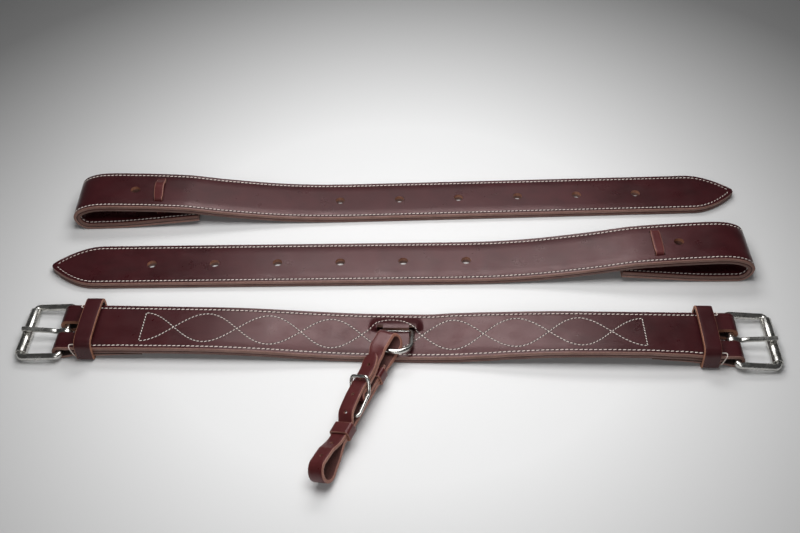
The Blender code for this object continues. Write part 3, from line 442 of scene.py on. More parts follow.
def strap_ring(
    half, ply, seam=0.0, top_round=0.75, low_round=0.3, low_seam=False, extra=(), across=1.0, joint=0
):
    """Section (w, up) of a strap and each side's kind. seam is the depth of the stitch groove.

    joint is -1 or 1 where the lower or upper corner meets another ply and shows as a dark line.
    """
    top_round = min(top_round, ply * 0.4)
    low_round = min(low_round, ply * 0.3)
    row = half - SEAM_INSET

    def line(up_sign, inset, grooved):
        places = [-half + inset, half - inset, -half * 0.5, 0.0, half * 0.5, *extra]
        if seam and grooved:
            places += [side * row + step for side in (-1, 1) for step in (-1.0, -0.5, 0.0, 0.5, 1.0)]
        result = []
        for w in sorted(set(places)):
            off = abs(abs(w) - row)
            drop = seam * (1 - smooth(off / 1.0)) if seam and grooved else 0.0
            result.append((w, up_sign * (ply / 2 - drop)))
        return result

    points = line(1, top_round, True)
    kinds = [GRAIN] * len(points)
    points += arc((half - top_round, ply / 2 - top_round), top_round, 90, 0, 4)[1:]
    top_kind = FLESH if joint > 0 else EDGE
    low_kind = FLESH if joint < 0 else EDGE
    kinds += [top_kind] * 3 + [EDGE]
    points += arc((half - low_round, -ply / 2 + low_round), low_round, 0, -90, 2)
    kinds += [low_kind, low_kind, FLESH]
    bottom = line(-1, low_round, low_seam)[::-1][1:-1]
    points += bottom
    kinds += [FLESH] * len(bottom)
    points += arc((-half + low_round, -ply / 2 + low_round), low_round, -90, -180, 2)
    kinds += [low_kind, low_kind, EDGE]
    points += arc((-half + top_round, ply / 2 - top_round), top_round, 180, 90, 4)[:-1]
    kinds += [top_kind] * 4
    points = [(w * across, up) for w, up in points]
    return points, kinds


def strap(path, plies, half_widths, place, offsets=0.0, closed=False, lift=None, half=None, **ring):
    """Sections of a strap along a flat path, and its ring's kinds. A narrower half width scales the ring.

    plies, half_widths and offsets are numbers, or lists with one for each point of the path.
    """
    plies, half_widths, offsets = (
        row if isinstance(row, list) else [row] * len(path) for row in (plies, half_widths, offsets)
    )
    full = half or max(half_widths)
    sections, kinds = [], None
    for k, normal in enumerate(normals_of(path, closed)):
        points, kinds = strap_ring(full, plies[k], across=half_widths[k] / full, **ring)
        section = []
        for w, up in points:
            up += offsets[k]
            point = Vector(place(path[k][0] + normal[0] * up, w, path[k][1] + normal[1] * up))
            if lift:
                point.z += lift(path[k][0], w, normal)
            section.append(point)
        sections.append(section)
    return sections, kinds


def leather(name, shape, materials, body, node, closed=False, swap=None):
    """A leather piece from the sections and kinds of a strap. swap gives some kinds another one."""
    sections, ring_kinds = shape
    points, faces = skin(sections, closed)
    kinds = ring_kinds * len(sections) if closed else ring_kinds * (len(sections) - 1) + [EDGE, EDGE]
    if swap:
        kinds = [swap.get(kind, kind) for kind in kinds]
    return piece(name, points, faces, kinds, materials, body, (node,))


def tube(path, radius, place, closed=False, sides=20, flatten=None):
    """Round sections along a flat path; flatten gives each its own (half width, half ply)."""
    sections = []
    for k, normal in enumerate(normals_of(path, closed)):
        half, ply = flatten[k] if flatten else (radius, radius)
        ring = []
        for side in range(sides):
            angle = 2 * pi * (side + 0.5) / sides
            up = ply * sin(angle)
            a = path[k][0] + normal[0] * up
            ring.append(Vector(place(a, half * cos(angle), path[k][1] + normal[1] * up)))
        sections.append(ring)
    return sections


def metal(name, sections, body, node, closed):
    points, faces = skin(sections, closed)
    return piece(name, points, faces, None, (plate,), body, (node,), 50)


# Stitching


class Row:
    """A line on a strap's surface: points, surface normals and running length."""

    def __init__(self, points, normals):
        self.points = [Vector(p) for p in points]
        self.normals = [Vector(n).normalized() for n in normals]
        self.runs = [0.0]
        for start, end in zip(self.points, self.points[1:]):
            self.runs.append(self.runs[-1] + (end - start).length)
        self.length = self.runs[-1]
        self.last = 0

    def at(self, run):
        run = min(max(run, 0.0), self.length)
        k = self.last if self.runs[self.last] <= run else 0
        while k < len(self.runs) - 2 and self.runs[k + 1] < run:
            k += 1
        self.last = k
        share = (run - self.runs[k]) / max(self.runs[k + 1] - self.runs[k], 1e-9)
        point = self.points[k].lerp(self.points[k + 1], share)
        normal = self.normals[k].lerp(self.normals[k + 1], share).normalized()
        along = (self.points[k + 1] - self.points[k]).normalized()
        return point, normal, along


def stitch_beads(rows, pitch, height, wide, slant=0.20, tall=0.33):
    """One bead for each stitch, diving into the leather at both ends."""
    points, faces = [], []
    sides = 6
    # Each ring's place along the stitch, its share of the full size, and how far it lies below the top
    stations = (
        (-0.5, 0.45, -0.36), (-0.36, 0.92, -0.08), (0.0, 1.0, 0.0), (0.36, 0.92, -0.08), (0.5, 0.45, -0.36),
    )
    for row in rows:
        count = max(int(round(row.length / pitch)), 1)
        step = row.length / count
        reach = 0.80 * step
        for stitch in range(count):
            first = len(points)
            for t, size, sink in stations:
                point, normal, along = row.at((stitch + 0.5) * step + t * reach)
                side = normal.cross(along)
                centre = point + side * (slant * t * reach) + normal * (height + sink)
                for k in range(sides):
                    angle = 2 * pi * k / sides
                    offset = side * (wide * size * cos(angle)) + normal * (tall * size * sin(angle))
                    points.append(centre + offset)
            faces += loft_faces(first, len(stations), sides)
    return points, faces


def seam_shade_marks(rows, middle, rim, half=0.55, step=1.6):
    """The dark line that the stitches lie in, a thin closed ribbon: partly the darker impressed leather,
    partly painted shade of the stitch groove.
    """
    points, faces = [], []
    for row in rows:
        count = max(int(row.length / step), 2)
        first = len(points)
        for k in range(count + 1):
            point, normal, along = row.at(row.length * k / count)
            side = normal.cross(along)
            points.append(point + side * half + normal * rim)
            points.append(point + normal * middle)
            points.append(point - side * half + normal * rim)
            points.append(point - normal * 0.4)
        faces += loft_faces(first, count + 1, 4)
    return points, faces


def sew(name, rows, pitch, body, grooved=True, wide=0.40):
    """Beads and dark seam lines along rows, the lines partly painted shade; grooved rows lie in the strap's
    own groove.
    """
    depth = SEAM_DEPTH if grooved else 0.0
    points, faces = stitch_beads(rows, pitch, -0.13 if grooved else -0.04, wide)
    piece(name + "_stitches", points, faces, None, (linen,), body, (), 60)
    # The dark ribbon under the beads is partly painted shade of the stitch groove
    points, faces = seam_shade_marks(rows, 0.03 - depth, 0.03 - 0.55 * depth)
    piece(name + "_seam_shade_mark", points, faces, None, (seam_shade_mark,), body, (), 60)


def cord(path, radius, sides=8):
    """A round thread through given points."""
    points = []
    count = len(path)
    up = Vector((0.31, 0.17, 0.94))
    for k in range(count):
        along = (path[min(k + 1, count - 1)] - path[max(k - 1, 0)]).normalized()
        side = along.cross(up).normalized()
        size = radius * (0.5 if k in (0, count - 1) else 1.0)
        points += disc(path[k], size, side, side.cross(along), sides)
    return points, loft_faces(0, count, sides)


# Cinch


def rise(x):
    x = abs(x)
    belly = 5.3 * smooth((x - 12.0) / 128.0)
    return belly + (RISE_AT_KEEPER - 5.3) * smooth((x - 140.0) / (KEEPER_INNER_X - 140.0))


CINCH_LIE = (
    (-226.0, 0.0, 0.0), (-200.0, 0.7, 0.0), (-160.0, 1.2, 0.0), (-110.0, 0.6, 0.0), (-60.0, 0.0, 0.0),
    (26.0, 0.0, 0.0), (44.0, 0.1, 1.2), (64.0, 0.8, 1.3), (88.0, 2.0, 0.9), (112.0, 2.8, 0.6),
    (136.0, 3.1, 0.4), (160.0, 3.4, 0.3), (184.0, 3.2, 0.2), (208.0, 2.0, 0.0), (232.0, 0.0, 0.0),
)


def lie(x, y):
    """How far the cinch's near and far edges lift from a level lie: x, near and far in each row above."""
    if not CINCH_LIE[0][0] < x < CINCH_LIE[-1][0]:
        return 0.0
    for start, end in zip(CINCH_LIE, CINCH_LIE[1:]):
        if x <= end[0]:
            share = smooth((x - start[0]) / (end[0] - start[0]))
            near = start[1] + (end[1] - start[1]) * share
            far = start[2] + (end[2] - start[2]) * share
            return near + (far - near) * (y + HALF_WIDTH) / (2 * HALF_WIDTH)
    return 0.0


def return_ply(x):
    share = smooth((x - RETURN_TIP_X) / (KEEPER_INNER_X - RETURN_TIP_X))
    return RETURN_SKIVE + (RETURN_PLY - RETURN_SKIVE) * share


def hump(x, y):
    """How far the dee's bar lifts the top ply: steeply at the slit, gently behind it."""
    height = HUMP_HEIGHT * (1 - smooth((abs(x - DEE_X) - DEE_SIDE - DEE_CLEAR) / 7.0))
    if y < SLIT_FRONT + SLIT_WIDTH:
        return height * smooth((y - SLIT_FRONT) / SLIT_WIDTH)
    if y <= SLIT_BACK:
        return height
    return height * (1 - smooth((y - SLIT_BACK) / 11.2))


def cinch_half_path():
    mid_top = PLY + GAP + PLY / 2
    xs = [k * 1.4 for k in range(17)]
    xs += spaced(xs[-1], KEEPER_OUTER_X, 56)[1:]
    points = [(x, rise(x) + mid_top) for x in xs]
    points += arc((HEEL_BAR_X, HEEL_BAR_Z), HEEL_MID_RADIUS, 90, -90, 24)
    plies = [PLY] * len(points)
    start = (HEEL_BAR_X, HEEL_BAR_Z - HEEL_MID_RADIUS)
    end = (KEEPER_OUTER_X + 0.3, RISE_AT_KEEPER - GAP - RETURN_PLY / 2)
    for t in spaced(0, 1, 10)[1:]:
        points.append((start[0] + (end[0] - start[0]) * t, start[1] + (end[1] - start[1]) * smooth(t)))
        plies.append(PLY + (RETURN_PLY - PLY) * t)
    for x in spaced(KEEPER_INNER_X, RETURN_TIP_X, 12):
        ply = return_ply(x)
        points.append((x, rise(x) - GAP - ply / 2))
        plies.append(ply)
    return points, plies


def side_prism(x, width, corners):
    """A prism along X from its corners (y, z)."""
    return prism([Vector((x, y, z)) for y, z in corners], Vector((width, 0, 0)))


def dee_cutters():
    """Room for the dee's bar and sides, the same as in the CAD solid."""
    low = DEE_Z - DEE_CLEAR
    high = DEE_Z + 0.5 * DEE_DEPTH
    middle = PLY + GAP / 2
    reach = 0.75 * DEE_DEPTH
    heel = (DEE_BAR_Y - sin(DEE_TILT) * DEE_CLEAR, DEE_Z - cos(DEE_TILT) * DEE_CLEAR)
    toe = (heel[0] - cos(DEE_TILT) * reach, heel[1] + sin(DEE_TILT) * reach)
    room = (heel, toe, (toe[0], high), (SLIT_BACK, high), (SLIT_BACK, DEE_Z))
    room += ((DEE_BAR_Y + 0.7 * DEE_CLEAR, low + 0.3 * DEE_CLEAR),)
    start = DEE_SIDE - DEE_WIRE / 2 - GAP - 0.2
    width = DEE_WIRE + 2 * GAP + 0.2
    solids = [side_prism(DEE_X + side * start, side * width, room) for side in (-1, 1)]
    reach = start + 1.0
    for back, z_low, z_high in ((SLIT_BACK, low, middle), (SLIT_FRONT + SLIT_WIDTH, middle, high)):
        corners = ((SLIT_FRONT, z_low), (back, z_low), (back, z_high), (SLIT_FRONT, z_high))
        solids.append(side_prism(DEE_X - reach, 2 * reach, corners))
    return solids


def tongue_slot(side):
    start = HEEL_BAR_X - 12.5 + SLOT_HALF
    outline = [(start + a, SLOT_Y + b) for a, b in arc((0, 0), SLOT_HALF, 90, 270, 16)]
    end = HEEL_BAR_X + HEEL_MID_RADIUS + PLY
    outline += [(end, SLOT_Y - SLOT_HALF), (end, SLOT_Y + SLOT_HALF)]
    ring = [Vector((side * x, y, -2.0)) for x, y in outline]
    return prism(ring, Vector((0, 0, TOP_AT_KEEPER + 4.0)))


def surface_line(flat, top):
    """Carries a flat line (x, y) onto the cinch's top, or its underside."""
    points, normals = [], []
    for x, y in flat:
        if top:
            z = rise(x) + FACE_TOP + hump(x, y) + lie(x, y)
            slope = rise(x + 0.5) - rise(x - 0.5) + hump(x + 0.5, y) - hump(x - 0.5, y)
            tip = hump(x, y + 0.5) - hump(x, y - 0.5)
            normals.append((-slope, -tip, 1.0))
        else:
            z = rise(x) + lie(x, y)
            normals.append((rise(x + 0.5) - rise(x - 0.5), 0.0, -1.0))
        points.append((x, y, z))
    return Row(points, normals)


# Where each wave line starts, crosses the middle and ends, in X, and its phase in half turns there
WAVE_NODES = (-191.0, -167.5, -119.8, -71.7, -25.9, 19.6, 65.6, 114.3, 160.6, 185.0)
WAVE_PHASES = (-0.5, 0, 1, 2, 3, 4, 5, 6, 7, 7.5)
WAVE_HEIGHT = 14.5


def wave_phase(x):
    for k in range(len(WAVE_NODES) - 1):
        if x <= WAVE_NODES[k + 1] or k == len(WAVE_NODES) - 2:
            share = (x - WAVE_NODES[k]) / (WAVE_NODES[k + 1] - WAVE_NODES[k])
            return pi * (WAVE_PHASES[k] + (WAVE_PHASES[k + 1] - WAVE_PHASES[k]) * share)


def wave_lines():
    """Two mirrored waves and the line that closes them at each end."""
    ends = (WAVE_NODES[0], WAVE_NODES[-1])
    lines = []
    for height in (-WAVE_HEIGHT, WAVE_HEIGHT):
        lines.append([(x, height * sin(wave_phase(x))) for x in spaced(*ends, 420)])
    for x in ends:
        lines.append([(x, y) for y in spaced(-WAVE_HEIGHT, WAVE_HEIGHT, 12)])
    return lines


def make_lock_stitches(row_y):
    """The thread that wraps over each edge at the ends of the top rows."""
    cords = []
    for side in (-1, 1):
        for far in (-1, 1):
            y = far * row_y
            edge = far * (HALF_WIDTH + 0.25)
            route = (
                (-2.6, y, 11.2), (-2.0, y, 12.0), (1.4, y, 12.1), (2.2, y + far * 0.9, 12.05),
                (1.9, far * (HALF_WIDTH - 0.7), 11.95), (1.5, edge, 11.2), (0.6, edge + far * 0.05, 8.2),
                (-0.4, edge + far * 0.05, 5.2), (-1.2, edge - far * 0.15, 2.9), (-1.4, edge - far * 0.9, 2.4),
            )
            fine = spline([(side * (LOCK_X + out), across, up) for out, across, up in route], 3)
            cords.append(cord([Vector(point) for point in fine], 0.42))
    points, faces = join(cords)
    piece("cinch_lock_stitches", points, faces, None, (linen,), "cinch", (), 60)


def make_cinch():
    half_points, half_plies = cinch_half_path()
    path = [(-x, z) for x, z in reversed(half_points)][:-1] + half_points
    plies = list(reversed(half_plies))[:-1] + half_plies
    extra = [SLIT_FRONT + SLIT_WIDTH * share for share in (0, 0.5, 1)]
    extra += [6.2, SLIT_BACK, 9.4, 11.0, 12.6, 14.2, 15.8, 17.2]

    def lift(x, y, normal):
        return lie(x, y) + (hump(x, y) if normal[1] > 0 else 0.0)

    # Over the lining the top ply is thicker below, so that only a seam stays open
    over = [abs(x) < KEEPER_OUTER_X and normal[1] > 0 for (x, _), normal in zip(path, normals_of(path))]
    plies = [ply + (GAP - SEAM_GAP) * on_lining for ply, on_lining in zip(plies, over)]
    offsets = [-(GAP - SEAM_GAP) / 2 * on_lining for on_lining in over]
    shape = strap(
        path, plies, HALF_WIDTH, lambda a, w, b: (a, w, b), offsets, lift=lift,
        seam=SEAM_DEPTH, extra=extra, top_round=0.7, low_round=0.4, joint=-1,
    )
    top = leather("cinch_face_leather", shape, LEATHER, "cinch", "cinch_top_ply")
    cut(top, dee_cutters())
    cut(top, [tongue_slot(-1), tongue_slot(1)], WALL)

    shape = strap(
        [(x, rise(x) + PLY / 2) for x in spaced(-LINING_END_X, LINING_END_X, 160)],
        PLY, HALF_WIDTH, lambda a, w, b: (a, w, b + lie(a, w)),
        seam=SEAM_DEPTH, low_seam=True, top_round=0.4, low_round=0.6, joint=1,
    )
    lining = leather(
        "cinch_lining_leather", shape, LINING_LEATHER, "cinch", "cinch_lining",
        swap={FLESH: GRAIN},
    )
    cut(lining, dee_cutters())

    row_y = HALF_WIDTH - SEAM_INSET
    rows = []
    for end, count, upper in ((TOP_ROW_END, 300, True), (LOW_ROW_END, 240, False)):
        rows += [surface_line([(x, y) for x in spaced(-end, end, count)], upper) for y in (-row_y, row_y)]
    sew("cinch_edge", rows, EDGE_PITCH, "cinch")
    waves = [surface_line(line, upper) for upper in (True, False) for line in wave_lines()]
    sew("cinch_wave", waves, WAVE_PITCH, "cinch", grooved=False, wide=0.37)
    make_lock_stitches(row_y)


def make_buckle(side, word):
    half = HALF_WIDTH + 0.5 + BUCKLE_WIRE / 2
    roller_z = ROLLER_DIAMETER / 2
    tilt = asin((HEEL_BAR_Z - roller_z) / BUCKLE_LENGTH)

    def on_frame(u, w, up):
        out = u * cos(tilt) + up * sin(tilt)
        return Vector((side * (HEEL_BAR_X + out), w, HEEL_BAR_Z - u * sin(tilt) + up * cos(tilt)))

    outline = rounded_box(half, 0.0, BUCKLE_LENGTH, FRAME_CORNER, 8)
    sections = tube(outline, BUCKLE_WIRE / 2, lambda a, w, b: on_frame(b, a, w), True, 24)
    metal(word + "_buckle_wire", sections, word + "_frame", word + "_buckle_frame", True)

    bar = on_frame(BUCKLE_LENGTH, 0, 0)
    roller_half = half - FRAME_CORNER - GAP
    bore = BUCKLE_WIRE / 2 + GAP
    outer = ROLLER_DIAMETER / 2
    profile = [(bore, -roller_half + 0.3), (bore + 0.3, -roller_half), (outer - 0.6, -roller_half)]
    profile += [(outer - 0.18, -roller_half + 0.15), (outer, -roller_half + 0.6)]
    profile += [(outer, -roller_half * 0.4), (outer, roller_half * 0.4)]
    profile += [(r, -y) for r, y in reversed(profile[:5])]
    rings = []
    for k in range(40):
        angle = 2 * pi * k / 40
        rings.append([bar + Vector((r * cos(angle), y, r * sin(angle))) for r, y in profile])
    metal(word + "_buckle_tube", rings, word + "_roller", word + "_buckle_roller", True)

    eye = BUCKLE_WIRE / 2 + GAP + TONGUE_EYE_PLY / 2
    dip = 3.65
    over_roller = (bar.z + outer + GAP + TONGUE_WIRE / 2) - HEEL_BAR_Z
    reach = BUCKLE_LENGTH * cos(tilt)
    slope = (over_roller - dip + 1.2) / reach
    shank = [
        (reach + 2.4, over_roller + slope * 2.4 * 0.6),
        (reach, over_roller),
        (reach * 0.62, over_roller - slope * reach * 0.38),
        (reach * 0.36, over_roller - slope * reach * 0.62),
        (reach * 0.2, eye - dip * 0.45),
        (reach * 0.09, eye - dip * 0.12),
    ]
    path = spline(shank, 6)[:-1] + arc((0, 0), eye, 84, 325, 30)
    widths = []
    for k, (u, _) in enumerate(path):
        share = smooth((u - reach * 0.1) / (reach * 0.25)) if k < len(path) - 31 else 0.0
        ply = TONGUE_EYE_PLY + (TONGUE_WIRE - TONGUE_EYE_PLY) * share
        widths.append((2.5 + (TONGUE_WIRE - 5.0) / 2 * share, ply / 2))
    for k, size in enumerate((0.35, 0.72, 0.92)):
        widths[k] = (widths[k][0] * size, widths[k][1] * size)
    start = path[0]
    step = (path[1][0] - path[0][0], path[1][1] - path[0][1])
    path[1] = (start[0] + step[0] * 0.25, start[1] + step[1] * 0.25)
    path[2] = (start[0] + step[0] * 0.8, start[1] + step[1] * 0.8)
    path = [(HEEL_BAR_X + u, HEEL_BAR_Z + v) for u, v in path]
    sections = tube(path, 0, lambda a, w, b: (side * a, TONGUE_Y + w, b), False, 16, widths)
    metal(word + "_buckle_prong", sections, word + "_tongue", word + "_buckle_tongue", False)


def make_keeper(side, word):
    inner_half = HALF_WIDTH + GAP
    mid = KEEPER_PLY / 2
    path = rounded_box(inner_half + mid, mid, TOP_AT_KEEPER + 5.2 + mid, 4.0 - mid, 10, 7.0 - mid)
    top = path[0][1]
    path += [(path[0][0] * (k / 8 - 1), top) for k in range(1, 16)]
    middle = TOP_AT_KEEPER / 2
    path = [
        (w, z + KEEPER_ARCH * cos(w / inner_half * pi / 2.4) * smooth((z - middle) / (top - middle)))
        for w, z in path
    ]
    shape = strap(
        path, KEEPER_PLY, KEEPER_LENGTH / 2, lambda a, w, b: (side * KEEPER_X + w, a, b),
        closed=True, top_round=0.5, low_round=0.35,
    )
    keeper = word + "_keeper"
    leather(keeper + "_leather", shape, KEEPER_LEATHER, keeper + "_loop", keeper, True)


def make_dee():
    bar = Vector((DEE_X, DEE_BAR_Y, DEE_Z))

    def on_dee(a, w, b):
        y = -b * cos(DEE_TILT) - w * sin(DEE_TILT)
        return bar + Vector((a, y, b * sin(DEE_TILT) - w * cos(DEE_TILT)))

    path = arc((0, DEE_DEPTH - DEE_SIDE), DEE_SIDE, 0, 180, 36)
    path += arc((-DEE_SIDE + 3.0, 3.0), 3.0, 180, 270, 8)
    path += arc((DEE_SIDE - 3.0, 3.0), 3.0, 270, 360, 8)
    metal("dee_ring", tube(path, DEE_WIRE / 2, on_dee, True, 20), "dee", "centre_dee", True)


# Connector


def connector_point(s, w, n):
    share = smooth((s - 3.0) / 15.0)
    roll = radians(3.0 + 17.0 * share)
    lean = radians(35.0 - 15.0 * share)
    heading = radians(21.0)
    pitch = radians(1.3)
    level = Vector((-sin(heading), -cos(heading), 0))
    across = Vector((cos(heading), -sin(heading), 0))
    along = level * cos(pitch) + Vector((0, 0, sin(pitch)))
    upright = Vector((0, 0, cos(pitch))) - level * sin(pitch)
    side = across * cos(roll) + upright * sin(roll)
    up = upright * cos(lean) - across * sin(lean)
    return CONNECTOR_ORIGIN + along * s + side * w + up * n


def connector_path():
    mid = CONNECTOR_PLY / 2
    fold = SMALL_WIRE / 2 + GAP + mid
    tail_n = BAR_N - fold
    over_keeper = tail_n + mid + 2 * GAP + CONNECTOR_KEEPER_PLY + mid
    near = SMALL_KEEPER_S + SMALL_KEEPER_LENGTH / 2
    far = SMALL_KEEPER_S - SMALL_KEEPER_LENGTH / 2
    top_n = 2 * DEE_LOOP + mid
    tail = [(17.5, tail_n + 1.6), (far, tail_n + 0.2), (near, tail_n), (BAR_S - 4, tail_n)]
    front = [
        (BAR_S - 4, BAR_N + fold), (BAR_S - 11, BAR_N + fold),
        (near, over_keeper + 1.3), (far, over_keeper + 3.6),
        (far - 9, top_n + 0.3), (0.0, top_n), (-4.0, top_n),
    ]
    end_top = MAIN_KEEPER_S + MAIN_KEEPER_LENGTH / 2
    back = [(-5.0, mid), (end_top * 0.5, mid), (end_top, mid)]
    back += [(end_top + 6, mid - 0.5), (end_top + 15, mid - 4.2)]
    heel_bar = (BAR_S + SMALL_HEEL, BAR_N - SMALL_DROP)
    over_heel = heel_bar[1] + SMALL_WIRE / 2 + 1.3 + 3 * GAP + mid
    over_bar = BAR_N + fold + LAYER_STEP
    billet = [
        (end_top + 17, mid + LAYER_STEP + 3.9), (end_top + 8, mid + LAYER_STEP + 0.8),
        (end_top + 1, mid + LAYER_STEP),
        (MAIN_KEEPER_S - MAIN_KEEPER_LENGTH / 2 - 0.5, mid + LAYER_STEP),
        (heel_bar[0] + 1, over_heel), (BAR_S + 9, over_bar - 0.6),
        (BAR_S, over_bar + 0.3), (BAR_S - 11, over_bar + 0.4),
        (near, front[2][1] + LAYER_STEP + 0.3),
        (far, front[3][1] + LAYER_STEP + 0.3),
        (16.5, front[4][1] + LAYER_STEP + 0.5),
    ]
    path = spline(tail, 5)
    path += arc((BAR_S, BAR_N), fold, -90, 90, 18)
    path += spline(front, 5)
    path += arc((-8.0, DEE_LOOP + mid), DEE_LOOP, 90, 270, 22)
    path += spline(back, 6)
    path += arc((113.8, 1.3), 7.75, -118, 82, 28)
    path += spline(billet, 6)
    return path


def run_back(path, run):
    for k in range(len(path) - 1, 0, -1):
        step = dist(path[k], path[k - 1])
        if run <= step:
            share = run / step
            here = tuple(a + (b - a) * share for a, b in zip(path[k], path[k - 1]))
            return here, tuple((b - a) / step for a, b in zip(path[k], path[k - 1]))
        run -= step
    return path[0], (1.0, 0.0)


def make_connector():
    path = connector_path()
    count = len(path)
    widths = [CONNECTOR_HALF] * count
    for k in range(count - 24, count):
        left = min((path[k][0] - 16.5) / 9.0, 1.0)
        widths[k] = max(CONNECTOR_HALF * sqrt(max(1 - (1 - left) ** 2, 0.0)), 1.2)
    shape = strap(
        path, CONNECTOR_PLY, widths, connector_point, half=CONNECTOR_HALF, top_round=0.4, low_round=0.4
    )
    strip = leather(
        "connector_leather", shape, RED_LEATHER, "connector", "connector_strap",
        swap={GRAIN: FLESH, FLESH: GRAIN},
    )
    solids = []
    for k in range(7):
        (s, n), (ds, dn) = run_back(path, 10.5 + k * 14.3)
        depth = CONNECTOR_PLY / 2 + 0.12
        ring = []
        for step in range(14):
            angle = 2 * pi * step / 14
            u = CONNECTOR_HOLE * cos(angle)
            w = CONNECTOR_HOLE * sin(angle)
            ring.append((s + ds * u + dn * depth, w, n + dn * u - ds * depth))
        base = [connector_point(*point) for point in ring]
        other = [connector_point(a - 2 * dn * depth, w, b + 2 * ds * depth) for a, w, b in ring]
        solids.append((base + other, prism(base, Vector((0, 0, 1)))[1]))
    fold = SMALL_WIRE / 2 + GAP + CONNECTOR_PLY / 2
    slot_s = BAR_S - SMALL_WIRE / 2 - GAP - 1.0
    far_s = BAR_S + fold + CONNECTOR_PLY / 2 + 0.15
    low = BAR_N - fold - CONNECTOR_PLY / 2 - 0.15
    high = BAR_N + fold + CONNECTOR_PLY / 2 + 0.15
    corners = ((slot_s, low), (far_s, low), (far_s, high), (slot_s, high))
    base = [connector_point(s, -1.8, n) for s, n in corners]
    solids.append(prism(base, connector_point(far_s, 1.8, low) - connector_point(far_s, -1.8, low)))
    cut(strip, solids)


def make_connector_buckle():
    half = CONNECTOR_HALF + 0.35 + SMALL_WIRE / 2

    def rail(u):
        """Height of the frame's middle at u past the bar: it drops to the heel and arches to the top."""
        if u >= 0:
            return BAR_N - SMALL_DROP * smooth(u / SMALL_HEEL)
        return BAR_N + 10.3 * (-u / SMALL_TOP) ** 1.5

    flat = rounded_box(half, -SMALL_TOP, SMALL_HEEL, 2.6, 7)
    dense = []
    for k, here in enumerate(flat):
        dense.append(here)
        after = flat[(k + 1) % len(flat)]
        gap = dist(here, after)
        for step in range(1, int(gap / 1.2)):
            share = step / int(gap / 1.2)
            dense.append((here[0] + (after[0] - here[0]) * share, here[1] + (after[1] - here[1]) * share))
    dense = [p for k, p in enumerate(dense) if dist(p, dense[k - 1]) > 0.02]
    sections = []
    count = len(dense)
    up = (connector_point(BAR_S, 0, 1) - connector_point(BAR_S, 0, 0)).normalized()
    for k in range(count):
        before, after = dense[k - 1], dense[(k + 1) % count]
        start = connector_point(BAR_S + before[1], before[0], rail(before[1]))
        here = connector_point(BAR_S + dense[k][1], dense[k][0], rail(dense[k][1]))
        end = connector_point(BAR_S + after[1], after[0], rail(after[1]))
        tangent = (end - start).normalized()
        outward = tangent.cross(up).normalized()
        sections.append(disc(here, SMALL_WIRE / 2, outward, outward.cross(tangent).normalized(), 16))
    left = connector_point(BAR_S, -half, BAR_N)
    right = connector_point(BAR_S, half, BAR_N)
    across = (right - left).normalized()
    along = (connector_point(BAR_S + 1, 0, 0) - connector_point(BAR_S, 0, 0)).normalized()
    ring = disc(left, SMALL_WIRE / 2 * 0.98, along, across.cross(along), 16)
    points, faces = join([skin(sections, True), prism(ring, right - left)])
    piece(
        "connector_buckle_wire", points, faces, None, (plate,), "connector_frame",
        ("connector_buckle_frame",), 50,
    )

    wire = 1.3
    eye = SMALL_WIRE / 2 + GAP + wire / 2
    over = rail(SMALL_HEEL) + eye
    path = [(SMALL_HEEL + 1.0, over), (SMALL_HEEL * 0.7, over + 0.1)]
    path += [(SMALL_HEEL * 0.35, BAR_N + eye * 0.72), (SMALL_HEEL * 0.15, BAR_N + eye * 0.93)]
    path = spline([(BAR_S + u, n) for u, n in path], 5)[:-1] + arc((BAR_S, BAR_N), eye, 80, 320, 16)
    widths = [(wire / 2 * 1.3, wire / 2)] * len(path)
    widths[0] = (wire * 0.3, wire * 0.25)
    sections = tube(path, 0, connector_point, False, 12, widths)
    metal("connector_buckle_prong", sections, "connector_tongue", "connector_buckle_tongue", False)


def make_connector_keeper(node, body, centre, length, high):
    mid = CONNECTOR_KEEPER_PLY / 2
    path = rounded_box(CONNECTOR_HALF + GAP + mid, -GAP - mid, high + GAP + mid, 1.6, 7)
    shape = strap(
        path, CONNECTOR_KEEPER_PLY, length / 2, lambda a, w, b: connector_point(centre + w, a, b),
        closed=True, top_round=0.35, low_round=0.25,
    )
    leather(node + "_leather", shape, RED_LEATHER, body, node, True)


# Billets


def billet_path():
    mid = BILLET_MID
    radius = BILLET_LOOP / 2 - mid
    top = BILLET_LOOP - mid
    back = BILLET_RETURN
    return_run = [
        (back, mid + 6.0), (back * 0.72, mid + 3.3), (back * 0.48, mid + 1.0), (back * 0.31, mid + 0.05)
    ]
    loop = arc((radius + mid, mid + radius), radius, 270, 180, 16)
    for turn in range(5, 91, 5):
        angle = radians(turn)
        loop.append((mid + LOOP_SHOULDER * (1 - cos(angle)), mid + radius + radius * sin(angle)))
    run = [
        (back * 0.3, top), (back * 0.6, top - 1.6), (back * 0.87, top - 3.9), (back, top - 6.0),
        (back + 24, mid + 8.9), (back + 65, mid + 3.3), (back + 100, mid + 0.7), (back + 131, mid),
    ]
    path = spline(return_run, 8) + loop + spline(run, 9)
    stop = BILLET_LENGTH - BILLET_TIP
    flat = spaced(path[-1][0], stop, 40)[1:] + spaced(stop, BILLET_LENGTH, 26)[1:]
    return path + [(d, mid) for d in flat]


def billet_half(d):
    left = (BILLET_LENGTH - d) / BILLET_TIP
    if left >= 1:
        return HALF_WIDTH
    return 1.5 + (HALF_WIDTH - 1.5) * sin(max(left, 0.0) * pi / 2) ** 0.85


def height_at(path, d, upper):
    turn = min(range(len(path)), key=lambda k: path[k][0])
    rows = path[turn:] if upper else path[:turn]
    for start, end in zip(rows, rows[1:]):
        if min(start[0], end[0]) <= d <= max(start[0], end[0]) and start[0] != end[0]:
            return start[1] + (end[1] - start[1]) * (d - start[0]) / (end[0] - start[0])
    return path[-1][1]


